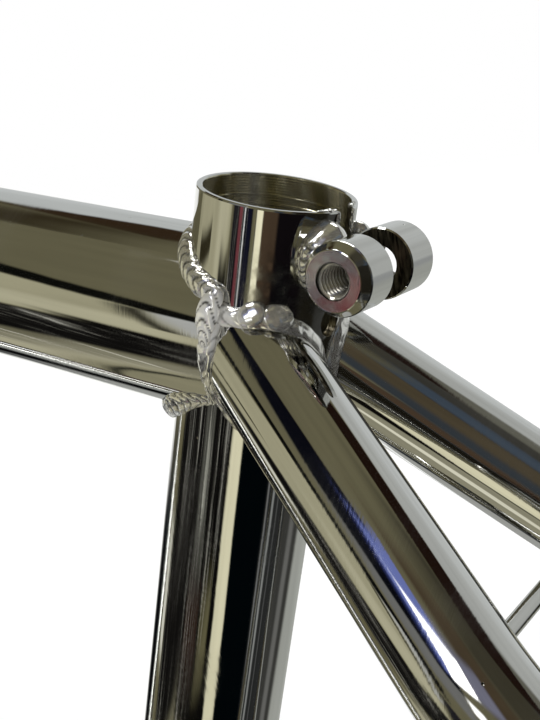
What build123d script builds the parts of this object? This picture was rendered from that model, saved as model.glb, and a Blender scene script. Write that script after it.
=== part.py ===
from build123d import *
from math import asin, cos, radians, sin, sqrt, tan
import os

# A welded steel bicycle frame for 20 inch wheels, in millimetres.
# X points forward, Y to the rider's left, Z up. The origin is the centre of the
# bottom bracket shell. Every tube is mitred onto the tube that carries it, and
# each weld bead fills the corner between the two.

# Seat tube, with the slotted collar at its top that grips the seat post
seat_tube_angle = 71.0
seat_tube_length = 266.7
seat_tube_od = 28.6
seat_tube_wall = 1.8
seat_post_bore = 25.6
seat_post_depth = 160.0
collar_bore = 26.3
collar_bore_depth = 7.5
collar_slot_width = 5.0
slot_stop_diameter = 6.0
slot_stop_depth = 20.0

# Clamp bosses: a tapped one on the left and a plain one on the right
boss_diameter = 12.7
boss_setback = 20.1
boss_drop = 8.7
boss_gap = 7.0
tapped_boss_length = 9.5
tapped_boss_nose = 2.7
tapped_boss_nose_diameter = 10.4
tapped_hole_diameter = 5.2
tapped_hole_chamfer = 0.6
plain_boss_length = 8.3
plain_hole_diameter = 6.5
plain_boss_edge = 0.4

# Top tube: it meets the seat tube's axis this far below the collar's top
top_tube_od = 34.9
top_tube_wall = 0.9
top_tube_drop = 26.2
top_tube_rise = 13.45
top_tube_length = 520.7

# Head tube, for pressed cups, with a thick ring at each end
head_tube_angle = 74.5
head_tube_length = 118.0
head_tube_od = 37.6
head_cup_bore = 34.0
head_tube_above_top_tube = 28.0
head_ring_od = 40.5
head_ring_height = 8.0

# Down tube
down_tube_od = 38.1
down_tube_wall = 0.9
down_tube_above_head_bottom = 36.0

# Bottom bracket shell, for a one piece crank
shell_width = 68.0
shell_bore = 51.3
shell_od = 57.2

# Rear axle, hub and dropout plates
chain_stay_length = 350.0
axle_drop = 40.0
hub_width = 110.0
dropout_thickness = 6.0
axle_slot_width = 10.0
axle_slot_front = 9.0
axle_slot_rear = 22.0
dropout_half_height = 15.5
dropout_tab_length = 52.0
dropout_tab_width = 15.4
dropout_corner = 5.0
dropout_body_reach = 28.0

# Seat stays: straight, splayed, then bent in line with the dropouts
seat_stay_od = 19.05
stay_wall = 1.2
seat_stay_drop = 25.3
seat_stay_half_spacing = 6.5
seat_stay_splay = 19.4
seat_stay_bend_distance = 73.0
seat_stay_bend_radius = 60.0
seat_stay_start = -8.0

# Chain stays: their weld beads stay this far inside the ends of the shell
chain_stay_od = 19.05
chain_stay_end_margin = 0.8

# Both pairs of stays taper to the dropouts
stay_tip_od = 14.3
stay_taper_length = 120.0
stay_tip_to_axle = 37.0
stay_end_wall = 3.0

# Cross pieces
seat_stay_bridge_diameter = 3.0
seat_stay_bridge_distance = 67.8
chain_stay_bridge_od = 12.7
chain_stay_bridge_wall = 1.2
chain_stay_bridge_distance = 72.0

# Legs of the weld beads
main_bead = 2.4
boss_bead = 2.2
boss_fill = 3.2
bridge_bead = 1.4
tip_bead = 2.0

# Places worked out from the sizes above
st_angle = radians(seat_tube_angle)
ht_angle = radians(head_tube_angle)
tt_angle = radians(top_tube_rise)
up_seat_tube = Vector(-cos(st_angle), 0, sin(st_angle))
back_of_seat_tube = Vector(-sin(st_angle), 0, -cos(st_angle))
left = Vector(0, 1, 0)
collar_top = up_seat_tube * seat_tube_length
along_top_tube = Vector(cos(tt_angle), 0, sin(tt_angle))
top_tube_rear = collar_top - up_seat_tube * top_tube_drop
top_tube_front = top_tube_rear + along_top_tube * top_tube_length
up_head_tube = Vector(-cos(ht_angle), 0, sin(ht_angle))
head_top = top_tube_front + up_head_tube * head_tube_above_top_tube
head_bottom = head_top - up_head_tube * head_tube_length
down_tube_front = head_bottom + up_head_tube * down_tube_above_head_bottom
axle = Vector(-sqrt(chain_stay_length**2 - axle_drop**2), 0, -axle_drop)
axle_to_shell = axle * (-1 / chain_stay_length)
stay_node = collar_top - up_seat_tube * seat_stay_drop
stay_run = axle - stay_node
stay_run_length = stay_run.length
along_seat_stay = stay_run * (1 / stay_run_length)
dropout_y = hub_width / 2 + dropout_thickness / 2
chain_stay_shell_share = shell_od / 2 / (chain_stay_length - stay_tip_to_axle)
chain_stay_shell_y = shell_width / 2 - chain_stay_end_margin - main_bead - chain_stay_od / 2
chain_stay_half_spacing = (chain_stay_shell_y - dropout_y * chain_stay_shell_share) / (
    1 - chain_stay_shell_share)


class Tube:
    """A round tube between two points of its axis."""

    def __init__(self, start, end, od, wall=0.0):
        self.start = start
        self.end = end
        self.od = od
        self.wall = wall

    def cylinder(self, radius):
        along = self.end - self.start
        plane = Plane(origin=self.start, z_dir=along)
        return plane * Cylinder(radius, along.length, align=(Align.CENTER, Align.CENTER, Align.MIN))

    def solid(self, grow=0.0):
        return self.cylinder(self.od / 2 + grow)

    def hollow(self):
        return self.solid() - self.cylinder(self.od / 2 - self.wall)


def beside(point, y):
    """The same place in side view, moved sideways to y."""
    return Vector(point.X, y, point.Z)


seat_tube_run = Tube(Vector(0, 0, 0), collar_top, seat_tube_od, seat_tube_wall)
top_tube_run = Tube(top_tube_rear, top_tube_front, top_tube_od, top_tube_wall)
down_tube_run = Tube(Vector(0, 0, 0), down_tube_front, down_tube_od, down_tube_wall)
head_tube_run = Tube(head_bottom, head_top, head_tube_od, (head_tube_od - head_cup_bore) / 2)
shell_run = Tube(left * (-shell_width / 2), left * (shell_width / 2), shell_od, (shell_od - shell_bore) / 2)


def seat_stay_point(side, distance):
    """Point on a seat stay's axis, by its distance from the seat tube in side view."""
    upper = seat_stay_half_spacing + tan(radians(seat_stay_splay)) * distance
    bend = seat_stay_half_spacing + tan(radians(seat_stay_splay)) * seat_stay_bend_distance
    tip_distance = stay_run_length - stay_tip_to_axle
    lower = bend + (dropout_y - bend) * (distance - seat_stay_bend_distance) / (
        tip_distance - seat_stay_bend_distance)
    y = upper if distance <= seat_stay_bend_distance else lower
    return beside(stay_node + along_seat_stay * distance, side * y)


def seat_stay_top(side):
    """The straight upper run, started well inside the seat tube."""
    start = seat_stay_point(side, seat_stay_start)
    return Tube(start, seat_stay_point(side, seat_stay_bend_distance), seat_stay_od, stay_wall)


def chain_stay_point(side, distance):
    """Point on a chain stay's axis, by its distance from the axle in side view."""
    share = (chain_stay_length - distance) / (chain_stay_length - stay_tip_to_axle)
    y = chain_stay_half_spacing + (dropout_y - chain_stay_half_spacing) * share
    return beside(axle + axle_to_shell * distance, side * y)


def chain_stay_run(side):
    return Tube(chain_stay_point(side, chain_stay_length), chain_stay_point(side, stay_tip_to_axle),
                chain_stay_od, stay_wall)


def tapered_end(taper_start, tip, large_od, shrink=0.0, stop_short=0.0):
    """The cone from a stay's full size down to its tip, which can be made smaller and shorter."""
    along = tip - taper_start
    full = along.length
    length = full - stop_short
    slope = (stay_tip_od - large_od) / 2 / full
    plane = Plane(origin=taper_start, z_dir=along)
    return plane * Cone(large_od / 2 - shrink, large_od / 2 - shrink + slope * length, length,
                        align=(Align.CENTER, Align.CENTER, Align.MIN))


def run_along(path, radius):
    """A round bar along a path of straight runs and tangent arcs."""
    return sweep(Plane(origin=path @ 0, z_dir=path % 0) * Circle(radius), path=path)


def seat_tube():
    """One tube from the shell to the collar, bored for the post and slotted at the back."""
    tube = seat_tube_run.hollow() - shell_run.solid()
    tube -= Tube(collar_top - up_seat_tube * seat_post_depth, collar_top, seat_post_bore).solid()
    tube -= Tube(collar_top - up_seat_tube * collar_bore_depth, collar_top, collar_bore).solid()
    stop = collar_top - up_seat_tube * slot_stop_depth
    reach = back_of_seat_tube * seat_tube_od
    tube -= Tube(stop, stop + reach, slot_stop_diameter).solid()
    slot_plane = Plane(origin=stop, x_dir=left, z_dir=up_seat_tube)
    away = Align.MAX if slot_plane.y_dir.dot(back_of_seat_tube) < 0 else Align.MIN
    slot = Box(collar_slot_width, seat_tube_od, slot_stop_depth, align=(Align.CENTER, away, Align.MIN))
    return tube - slot_plane * slot


def top_tube():
    """It is wider than the seat tube, so its end reaches past it on both sides."""
    return top_tube_run.hollow() - seat_tube_run.solid() - head_tube_run.solid()


def down_tube():
    return down_tube_run.hollow() - shell_run.solid() - head_tube_run.solid()


def head_tube_outside():
    """The head tube's outer form: a cylinder with a thicker ring at each end for the cups."""
    ring = up_head_tube * head_ring_height
    form = head_tube_run.solid()
    form += Tube(head_bottom, head_bottom + ring, head_ring_od).solid()
    form += Tube(head_top - ring, head_top, head_ring_od).solid()
    return form


def head_tube():
    return head_tube_outside() - head_tube_run.cylinder(head_cup_bore / 2)


def bottom_bracket_shell():
    return shell_run.hollow()


def dropout_plane(side):
    return Plane(origin=beside(axle, side * dropout_y), x_dir=axle_to_shell, z_dir=(0, -1, 0))


def dropout(side):
    """A flat plate with an open slot for the axle and one tab for each stay."""
    climb = asin(along_seat_stay.cross(axle_to_shell).length)
    half_tab = dropout_tab_width / 2
    tab_tip = Vector(cos(climb), sin(climb)) * dropout_tab_length
    across = Vector(-sin(climb), cos(climb)) * half_tab
    shoulder = tab_tip * (dropout_half_height / dropout_tab_length) + across
    points = [
        (-axle_slot_rear, -dropout_half_height),
        (axle_slot_front, -dropout_half_height),
        (dropout_body_reach - dropout_corner, -half_tab),
        (dropout_tab_length, -half_tab),
        (dropout_tab_length, half_tab),
        (half_tab / tan(climb / 2), half_tab),
        tab_tip - across,
        tab_tip + across,
        shoulder,
        (-axle_slot_rear, dropout_half_height),
    ]
    outline = make_face(Polyline(*points, close=True))
    outline = fillet(outline.vertices().filter_by(lambda v: v.X < dropout_body_reach), dropout_corner)
    slot = Rectangle(axle_slot_rear * 2, axle_slot_width, align=(Align.MAX, Align.CENTER))
    slot = Pos(axle_slot_front - axle_slot_width / 2, 0) * (slot + Circle(axle_slot_width / 2))
    return extrude(dropout_plane(side) * (outline - slot), dropout_thickness / 2, both=True)


def seat_stay_form(side, shrink=0.0, stop_short=0.0):
    """A seat stay as a solid bar: splayed, bent once in an arc, then tapered to its tip."""
    tip_distance = stay_run_length - stay_tip_to_axle
    bend = seat_stay_point(side, seat_stay_bend_distance)
    taper_start = seat_stay_point(side, tip_distance - stay_taper_length)
    tip = seat_stay_point(side, tip_distance)
    path = FilletPolyline(seat_stay_top(side).start, bend, taper_start, radius=seat_stay_bend_radius)
    bar = run_along(path, seat_stay_od / 2 - shrink)
    return bar + tapered_end(taper_start, tip, seat_stay_od, shrink, stop_short)


def seat_stay(side):
    """Mitred on the seat tube at its top, with a closed tip slotted over the plate."""
    tube = seat_stay_form(side) - seat_stay_form(side, stay_wall, stay_end_wall)
    return tube - seat_tube_run.solid() - top_tube_run.solid() - dropout(side)


def chain_stay_form(side, shrink=0.0, stop_short=0.0):
    """A chain stay as a solid bar: straight from the shell, then tapered to its tip."""
    run = chain_stay_run(side)
    taper_start = chain_stay_point(side, stay_tip_to_axle + stay_taper_length)
    bar = Tube(run.start, taper_start, chain_stay_od, stay_wall).solid(-shrink)
    return bar + tapered_end(taper_start, run.end, chain_stay_od, shrink, stop_short)


def chain_stay(side):
    """Mitred on the shell, with a closed tip slotted over the plate."""
    tube = chain_stay_form(side) - chain_stay_form(side, stay_wall, stay_end_wall)
    return tube - shell_run.solid() - dropout(side)


def boss_point(y):
    """Point on the clamp bolt's axis, which crosses behind the collar."""
    return beside(collar_top - up_seat_tube * boss_drop + back_of_seat_tube * boss_setback, y)


def tapped_boss_run():
    start = boss_gap / 2
    return Tube(boss_point(start), boss_point(start + tapped_boss_length), boss_diameter)


def plain_boss_run():
    start = -boss_gap / 2
    return Tube(boss_point(start), boss_point(start - plain_boss_length), boss_diameter)


def clamp_boss_left():
    """Turned boss with a coned nose, tapped for the clamp bolt."""
    run = tapped_boss_run()
    shoulder = run.end - left * tapped_boss_nose
    boss = Tube(run.start, shoulder, boss_diameter).solid()
    nose = Plane(origin=shoulder, z_dir=left)
    boss += nose * Cone(boss_diameter / 2, tapped_boss_nose_diameter / 2, tapped_boss_nose,
                        align=(Align.CENTER, Align.CENTER, Align.MIN))
    boss -= run.cylinder(tapped_hole_diameter / 2)
    mouth = Plane(origin=run.end, z_dir=-left)
    boss -= mouth * Cone(tapped_hole_diameter / 2 + tapped_hole_chamfer, tapped_hole_diameter / 2,
                         tapped_hole_chamfer, align=(Align.CENTER, Align.CENTER, Align.MIN))
    return boss - seat_tube_run.solid()


def clamp_boss_right():
    """Plain turned boss that the clamp bolt passes through."""
    run = plain_boss_run()
    boss = run.solid()
    outer_edge = boss.edges().filter_by(GeomType.CIRCLE).sort_by(Axis.Y)[0]
    boss = chamfer(outer_edge, plain_boss_edge)
    return boss - run.cylinder(plain_hole_diameter / 2) - seat_tube_run.solid()


def seat_stay_bridge_half(side):
    middle = stay_node + along_seat_stay * seat_stay_bridge_distance
    end = seat_stay_point(side, seat_stay_bridge_distance)
    return Tube(beside(middle, 0), end, seat_stay_bridge_diameter)


def seat_stay_bridge():
    """A thin cross rod between the seat stays."""
    bar = seat_stay_bridge_half(1).solid() + seat_stay_bridge_half(-1).solid()
    return bar - seat_stay_form(1) - seat_stay_form(-1)


def chain_stay_bridge_half(side):
    distance = chain_stay_length - chain_stay_bridge_distance
    end = chain_stay_point(side, distance)
    return Tube(beside(end, 0), end, chain_stay_bridge_od, chain_stay_bridge_wall)


def chain_stay_bridge():
    """A short tube between the chain stays, just behind the shell."""
    bar = chain_stay_bridge_half(1).hollow() + chain_stay_bridge_half(-1).hollow()
    return bar - chain_stay_run(1).solid() - chain_stay_run(-1).solid()


def bead(branch, main, leg):
    """Weld metal in the corner all round the end of one tube on another."""
    return (branch.solid(leg) & main.solid(leg)) - branch.solid() - main.solid()


def half_space(side):
    """Everything on one side of the middle plane."""
    size = 3 * seat_tube_length
    return Pos(0, side * size / 2, 0) * Box(2 * size, size, 2 * size)


def weld_top_tube_seat_tube():
    """Round the top tube's end, with a ring where it reaches past the seat tube."""
    back = top_tube_rear - along_top_tube * main_bead
    ring = Tube(back, top_tube_rear, top_tube_od + main_bead, 1.5 * main_bead)
    metal = bead(top_tube_run, seat_tube_run, main_bead) + (ring.hollow() - seat_tube_run.solid())
    return metal - seat_stay_top(1).solid() - seat_stay_top(-1).solid()


def weld_seat_stay(side):
    metal = bead(seat_stay_top(side), seat_tube_run, main_bead) & half_space(side)
    return metal - top_tube_run.solid() - weld_top_tube_seat_tube()


def weld_clamp_boss(run, side):
    """Weld metal that fills the groove between a boss and the collar."""
    inner = run.start
    shorter = Tube(inner, inner + left * (side * plain_boss_length), boss_diameter)
    metal = shorter.solid(boss_bead) & seat_tube_run.solid(boss_fill)
    return metal - run.solid() - seat_tube_run.solid() - seat_stay_top(side).solid()


def weld_seat_stay_bridge(side):
    metal = bead(seat_stay_bridge_half(side), seat_stay_top(side), bridge_bead)
    return metal - seat_stay_form(side)


def weld_chain_stay_bridge(side):
    return bead(chain_stay_bridge_half(side), chain_stay_run(side), bridge_bead)


def weld_down_tube_shell():
    return bead(down_tube_run, shell_run, main_bead) - seat_tube_run.solid()


def weld_seat_tube_shell():
    return bead(seat_tube_run, shell_run, main_bead) - down_tube_run.solid() - weld_down_tube_shell()


def weld_stay_tip(side, inner, tip, stay_form):
    """Weld metal where a stay's tip meets both faces of the dropout plate."""
    along = (tip - inner).normalized()
    run = Tube(inner, tip + along * tip_bead, stay_tip_od)
    half = dropout_thickness / 2 + tip_bead
    slab = extrude(dropout_plane(side) * Circle(2 * dropout_tab_length), half, both=True)
    return (run.solid(tip_bead) & slab) - stay_form - dropout(side)


def weld_seat_stay_tip(side):
    inner = seat_stay_point(side, stay_run_length - dropout_tab_length)
    tip = seat_stay_point(side, stay_run_length - stay_tip_to_axle)
    return weld_stay_tip(side, inner, tip, seat_stay_form(side))


def weld_chain_stay_tip(side):
    inner = chain_stay_point(side, dropout_tab_length)
    tip = chain_stay_point(side, stay_tip_to_axle)
    return weld_stay_tip(side, inner, tip, chain_stay_form(side))


def write(name, shape):
    export_step(shape, "parts/" + name + ".step")


def main():
    os.makedirs("parts", exist_ok=True)
    write("seat_tube", seat_tube())
    write("top_tube", top_tube())
    write("down_tube", down_tube())
    write("head_tube", head_tube())
    write("bottom_bracket_shell", bottom_bracket_shell())
    write("clamp_boss_left", clamp_boss_left())
    write("clamp_boss_right", clamp_boss_right())
    write("seat_stay_bridge", seat_stay_bridge())
    write("chain_stay_bridge", chain_stay_bridge())
    write("weld_top_tube_seat_tube", weld_top_tube_seat_tube())
    write("weld_top_tube_head_tube", bead(top_tube_run, head_tube_run, main_bead) - head_tube_outside())
    write("weld_down_tube_head_tube", bead(down_tube_run, head_tube_run, main_bead) - head_tube_outside())
    write("weld_down_tube_shell", weld_down_tube_shell())
    write("weld_seat_tube_shell", weld_seat_tube_shell())
    write("weld_clamp_boss_left", weld_clamp_boss(tapped_boss_run(), 1))
    write("weld_clamp_boss_right", weld_clamp_boss(plain_boss_run(), -1))
    for side, name in ((1, "left"), (-1, "right")):
        write("dropout_" + name, dropout(side))
        write("seat_stay_" + name, seat_stay(side))
        write("chain_stay_" + name, chain_stay(side))
        write("weld_seat_stay_" + name, weld_seat_stay(side))
        write("weld_chain_stay_" + name, bead(chain_stay_run(side), shell_run, main_bead))
        write("weld_seat_stay_tip_" + name, weld_seat_stay_tip(side))
        write("weld_chain_stay_tip_" + name, weld_chain_stay_tip(side))
        write("weld_seat_stay_bridge_" + name, weld_seat_stay_bridge(side))
        write("weld_chain_stay_bridge_" + name, weld_chain_stay_bridge(side))


main()
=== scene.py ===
import bmesh
import bpy
from math import asin, cos, pi, radians, sin, sqrt, tan
from mathutils import Matrix, Vector


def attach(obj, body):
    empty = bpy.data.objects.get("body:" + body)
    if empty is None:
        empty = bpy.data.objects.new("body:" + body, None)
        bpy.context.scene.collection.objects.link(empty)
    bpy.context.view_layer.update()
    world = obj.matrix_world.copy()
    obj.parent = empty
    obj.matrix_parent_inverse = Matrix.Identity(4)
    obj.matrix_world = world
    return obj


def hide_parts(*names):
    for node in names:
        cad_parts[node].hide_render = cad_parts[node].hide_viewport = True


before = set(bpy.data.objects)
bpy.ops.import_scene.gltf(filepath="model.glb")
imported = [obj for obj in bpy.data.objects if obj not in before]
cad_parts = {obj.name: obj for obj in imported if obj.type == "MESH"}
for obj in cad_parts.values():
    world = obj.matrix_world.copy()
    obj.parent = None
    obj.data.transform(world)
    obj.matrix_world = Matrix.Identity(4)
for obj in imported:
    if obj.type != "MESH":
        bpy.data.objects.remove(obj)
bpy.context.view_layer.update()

# The view: the camera stands behind the seat cluster on the rider's left, a
# little above the collar, and looks forward and down across the frame.
camera_data = bpy.data.cameras.new("view_of_seat_cluster")
camera_data.sensor_fit = "VERTICAL"
camera_data.sensor_height = 36.0
camera_data.lens = 55.3
camera_data.clip_start = 0.01
camera = bpy.data.objects.new("view_of_seat_cluster", camera_data)
bpy.context.scene.collection.objects.link(camera)
to_right = Vector((-0.8228, -0.5464, -0.1565))
to_front = Vector((0.5680, -0.8001, -0.1929))
upward = to_right.cross(to_front).normalized()
turn = Matrix((to_right, upward, -to_front)).transposed().to_4x4()
camera_place = (-0.19531, 0.16325, 0.26106)
camera.matrix_world = Matrix.Translation(camera_place) @ turn
bpy.context.scene.camera = camera

# Seat tube: cromoly steel tube, plain inside down to the shell. Its top is the
# collar, reamed for the seat post and counterbored, with a sawn slot at the
# back that ends in a drilled hole. The outside is polished and chrome plated.

# Named sizes and places are in millimetres, and MM brings them to the scene's
# metres. ST, HT, TT and DT stand for seat, head, top and down tube.
MM = 0.001
ST_ANGLE = radians(71.0)
ST_LENGTH = 266.7
ST_RADIUS = 14.3
ST_INNER_RADIUS = 12.5
ST_FACETS = 288
POST_RADIUS = 12.8
POST_DEPTH = 160.0
SLOT_HALF = 2.5
SLOT_DEPTH = 20.0
SLOT_HOLE_RADIUS = 3.0
SHELL_RADIUS = 28.6
SHELL_HALF = 34.0
ST_UP = Vector((-cos(ST_ANGLE), 0, sin(ST_ANGLE)))
ST_FORWARD = Vector((ST_UP.z, 0, -ST_UP.x))
LEFT = Vector((0, 1, 0))
CENTRE = Vector((0, 0, 0))
COLLAR_TOP = ST_UP * ST_LENGTH


def linear(colour):
    """Linear values of a colour given as sRGB hex."""
    parts = [int(colour[k:k + 2], 16) / 255 for k in (1, 3, 5)]
    return [p / 12.92 if p <= 0.04045 else ((p + 0.055) / 1.055) ** 2.4 for p in parts] + [1.0]


def add_node(tree, kind, settings=None, inputs=None):
    """A node, its settings or just its operation, and for each input a value, an output or a node."""
    node = tree.nodes.new(kind)
    if isinstance(settings, str):
        settings = {"operation": settings}
    for key, value in (settings or {}).items():
        setattr(node, key, value)
    for key, value in (inputs or {}).items():
        if isinstance(value, bpy.types.Node):
            value = value.outputs[0]
        if isinstance(value, bpy.types.NodeSocket):
            tree.links.new(value, node.inputs[key])
        else:
            node.inputs[key].default_value = value
    return node


def new_finish(name):
    """An empty node material, and the tree it is drawn in."""
    finish = bpy.data.materials.new(name)
    finish.use_nodes = True
    finish.node_tree.nodes.clear()
    return finish, finish.node_tree


# Chrome plate on cromoly steel: a mirror with a cool grey cast. Buffing by hand
# leaves long shallow waves of some 15 mm, which bend the reflections a little,
# fine hairlines half a millimetre apart in patches, and pinhead pits. Round the
# collar's welds no buff can reach, and there the plate is dull and mottled.
chrome, tree = new_finish("chrome_plate_on_cromoly_steel")
place = add_node(tree, "ShaderNodeTexCoord").outputs["Object"]
waves = add_node(tree, "ShaderNodeTexNoise", None, {"Vector": place, "Scale": 1 / 0.015, "Detail": 1.0})
patches = add_node(tree, "ShaderNodeTexNoise", None, {"Vector": place, "Scale": 1 / 0.022, "Detail": 2.0})
slanted = add_node(tree, "ShaderNodeMapping", None,
                   {"Vector": place, "Rotation": (0.5, 0.4, 0.7),
                    "Scale": (1 / 0.0005, 1 / 0.007, 1 / 0.007)})
hairlines = add_node(tree, "ShaderNodeTexNoise", None,
                     {"Vector": slanted, "Scale": 1.0, "Detail": 3.0, "Roughness": 0.6})
where = add_node(tree, "ShaderNodeMapRange", None,
                 {"Value": patches, "From Min": 0.5, "From Max": 0.64, "To Min": 0.08})
hair_depth = add_node(tree, "ShaderNodeMath", "MULTIPLY", {0: hairlines, 1: where})
pits = add_node(tree, "ShaderNodeTexVoronoi", {"feature": "F1"}, {"Vector": place, "Scale": 1 / 0.008})
unpitted = add_node(tree, "ShaderNodeMapRange", None, {"Value": pits, "From Min": 0.014, "From Max": 0.03})
boss_weld_spot = (-0.0915, 0.008, 0.2355)
from_welds = add_node(tree, "ShaderNodeVectorMath", "DISTANCE", {0: place, 1: boss_weld_spot})
near_welds = add_node(tree, "ShaderNodeMapRange", None,
                      {"Value": from_welds.outputs["Value"], "From Min": 0.0045, "From Max": 0.0105,
                       "To Min": 1.0, "To Max": 0.0})
mottle = add_node(tree, "ShaderNodeTexNoise", None, {"Vector": place, "Scale": 1 / 0.0025, "Detail": 5.0})
mottle = add_node(tree, "ShaderNodeMapRange", None, {"Value": mottle, "From Min": 0.35, "From Max": 0.6})
haze = add_node(tree, "ShaderNodeMath", "MULTIPLY", {0: near_welds, 1: mottle})
wavy = add_node(tree, "ShaderNodeBump", None, {"Strength": 0.12, "Distance": 0.0004, "Height": waves})
brushed = add_node(tree, "ShaderNodeBump", None,
                   {"Strength": 0.34, "Distance": 0.00003, "Height": hair_depth, "Normal": wavy})
pitted = add_node(tree, "ShaderNodeBump", None,
                  {"Strength": 0.6, "Distance": 0.0001, "Height": unpitted, "Normal": brushed})
gloss = add_node(tree, "ShaderNodeMapRange", None,
                 {"Value": hair_depth, "From Max": 0.6, "To Min": 0.035, "To Max": 0.11})
dulled = add_node(tree, "ShaderNodeMath", "MULTIPLY_ADD", {0: haze, 1: 0.24, 2: gloss})
clean = add_node(tree, "ShaderNodeMix", {"data_type": "RGBA"},
                 {0: unpitted, 6: linear("#2A2722"), 7: linear("#DADAD7")})
tone = add_node(tree, "ShaderNodeMix", {"data_type": "RGBA"},
                {0: haze, 6: clean.outputs[2], 7: linear("#8F8D84")})
surface = add_node(tree, "ShaderNodeBsdfPrincipled", None,
                   {"Base Color": tone.outputs[2], "Metallic": 1.0, "Roughness": dulled, "Normal": pitted})
add_node(tree, "ShaderNodeOutputMaterial", None, {"Surface": surface})

# Reamed steel: the bore is plated only thinly, so the tool's fine rings show,
# drawn 0.5 mm apart, and it looks duller and more yellow than the outside. A wave
# texture of scale 1 repeats after WAVE_PERIOD.
WAVE_PERIOD = 0.314
reamed, tree = new_finish("reamed_steel_bore")
place = add_node(tree, "ShaderNodeTexCoord").outputs["Object"]
down_bore = add_node(tree, "ShaderNodeVectorMath", "DOT_PRODUCT", {0: place, 1: ST_UP})
as_height = add_node(tree, "ShaderNodeCombineXYZ", None, {"X": down_bore.outputs["Value"]})
rings = add_node(tree, "ShaderNodeTexWave", {"bands_direction": "X", "wave_profile": "SIN"},
                 {"Vector": as_height, "Scale": WAVE_PERIOD / 0.0005, "Distortion": 0.6, "Detail": 2.0})
# Painted reflection: light and dark streaks drawn out along the bore stand in for the bands it reflects.
drawn_out = add_node(tree, "ShaderNodeMapping", None,
                     {"Vector": place, "Rotation": (0.0, radians(18.0), 0.0),
                      "Scale": (1 / 0.005, 1 / 0.005, 1 / 0.05)})
reflection_streaks = add_node(tree, "ShaderNodeTexNoise", None, {"Vector": drawn_out, "Scale": 1.0, "Detail": 3.0})
reflection_streaks = add_node(tree, "ShaderNodeMapRange", None, {"Value": reflection_streaks, "From Min": 0.36, "From Max": 0.62})
tooled = add_node(tree, "ShaderNodeBump", None,
                  {"Strength": 0.3, "Distance": 0.00006, "Height": rings.outputs["Fac"]})
tone = add_node(tree, "ShaderNodeMix", {"data_type": "RGBA"},
                {0: reflection_streaks, 6: linear("#948C66"), 7: linear("#FBF8E6")})
surface = add_node(tree, "ShaderNodeBsdfPrincipled", None,
                   {"Base Color": tone.outputs[2], "Metallic": 0.93, "Roughness": 0.16, "Normal": tooled})
add_node(tree, "ShaderNodeOutputMaterial", None, {"Surface": surface})

# Sawn steel: the slot and the inner faces of the bosses keep the saw's marks
# under a thin dark film, since polish and plate hardly reach into the gap.
sawn, tree = new_finish("sawn_steel_thinly_plated")
place = add_node(tree, "ShaderNodeTexCoord").outputs["Object"]
stretched = add_node(tree, "ShaderNodeMapping", None,
                     {"Vector": place, "Scale": (1 / 0.0005, 1 / 0.002, 1 / 0.003)})
cuts = add_node(tree, "ShaderNodeTexNoise", None, {"Vector": stretched, "Scale": 1.0, "Detail": 4.0})
ridged = add_node(tree, "ShaderNodeBump", None, {"Strength": 0.5, "Distance": 0.0001, "Height": cuts})
film = add_node(tree, "ShaderNodeMapRange", None, {"Value": cuts, "From Min": 0.35, "From Max": 0.68})
tones = add_node(tree, "ShaderNodeMix", {"data_type": "RGBA"},
                 {0: film, 6: linear("#2A261F"), 7: linear("#8F8874")})
surface = add_node(tree, "ShaderNodeBsdfPrincipled", None,
                   {"Base Color": tones.outputs[2], "Metallic": 1.0, "Roughness": 0.3, "Normal": ridged})
add_node(tree, "ShaderNodeOutputMaterial", None, {"Surface": surface})


def sideways(way):
    """Two directions at right angles to a way and to each other."""
    first = LEFT - way * LEFT.dot(way)
    if first.length < 0.1:
        first = ST_FORWARD - way * ST_FORWARD.dot(way)
    first.normalize()
    return first, way.cross(first).normalized()


def ring_at(point, way, radius, around):
    """Points of a circle round a way."""
    first, second = sideways(way)
    angles = [2 * pi * k / around for k in range(around)]
    return [point + (first * cos(a) + second * sin(a)) * radius for a in angles]


def new_piece(name, mesh):
    """An object that shows a mesh, at the origin."""
    piece = bpy.data.objects.new(name, mesh)
    bpy.context.scene.collection.objects.link(piece)
    return piece


def piece_from(name, points, faces, finishes, sharp=30.0, picks=None):
    """An object from points in millimetres, smooth except across edges sharper than an angle."""
    mesh = bpy.data.meshes.new(name)
    mesh.from_pydata([p * MM for p in points], [], faces)
    for finish in finishes:
        mesh.materials.append(finish)
    if picks:
        mesh.polygons.foreach_set("material_index", picks)
    work = bmesh.new()
    work.from_mesh(mesh)
    bmesh.ops.recalc_face_normals(work, faces=work.faces)
    work.to_mesh(mesh)
    work.free()
    mesh.shade_smooth()
    mesh.set_sharp_from_angle(angle=radians(sharp))
    return new_piece(name, mesh)


def skin(name, rings, finishes, closed=True, sharp=30.0, picks=None):
    """A surface through rings of equal count: its last ring joins its first, or both are capped."""
    around = len(rings[0])
    points = [p for one in rings for p in one]
    steps = len(rings) if closed else len(rings) - 1
    faces, face_picks = [], []
    for j in range(steps):
        a, b = j * around, (j + 1) % len(rings) * around
        for k in range(around):
            n = (k + 1) % around
            faces.append((a + k, a + n, b + n, b + k))
            face_picks.append(picks[j] if picks else 0)
    if not closed:
        last = (len(rings) - 1) * around
        faces += [tuple(range(around)), tuple(range(last, last + around))]
        face_picks += [0, 0]
    return piece_from(name, points, faces, finishes, sharp, face_picks)


def run_to(point, way, main):
    """How far a point can go along a way before it meets a bar (start, direction, radius)."""
    start, along, radius = main
    a = way - along * way.dot(along)
    b = (point - start) - along * (point - start).dot(along)
    if a.length > 1e-6:
        inside = a.dot(b) ** 2 - a.dot(a) * (b.dot(b) - radius ** 2)
        if inside > 0:
            far = (-a.dot(b) - sqrt(inside)) / a.dot(a)
            if (point + way * far - start).dot(along) >= 0:
                return far
    toward = way.dot(along)
    if toward > 1e-6:
        flat = (start - point).dot(along) / toward
        landed = point + way * flat - start
        if (landed - along * landed.dot(along)).length <= radius:
            return flat
    return None


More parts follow.
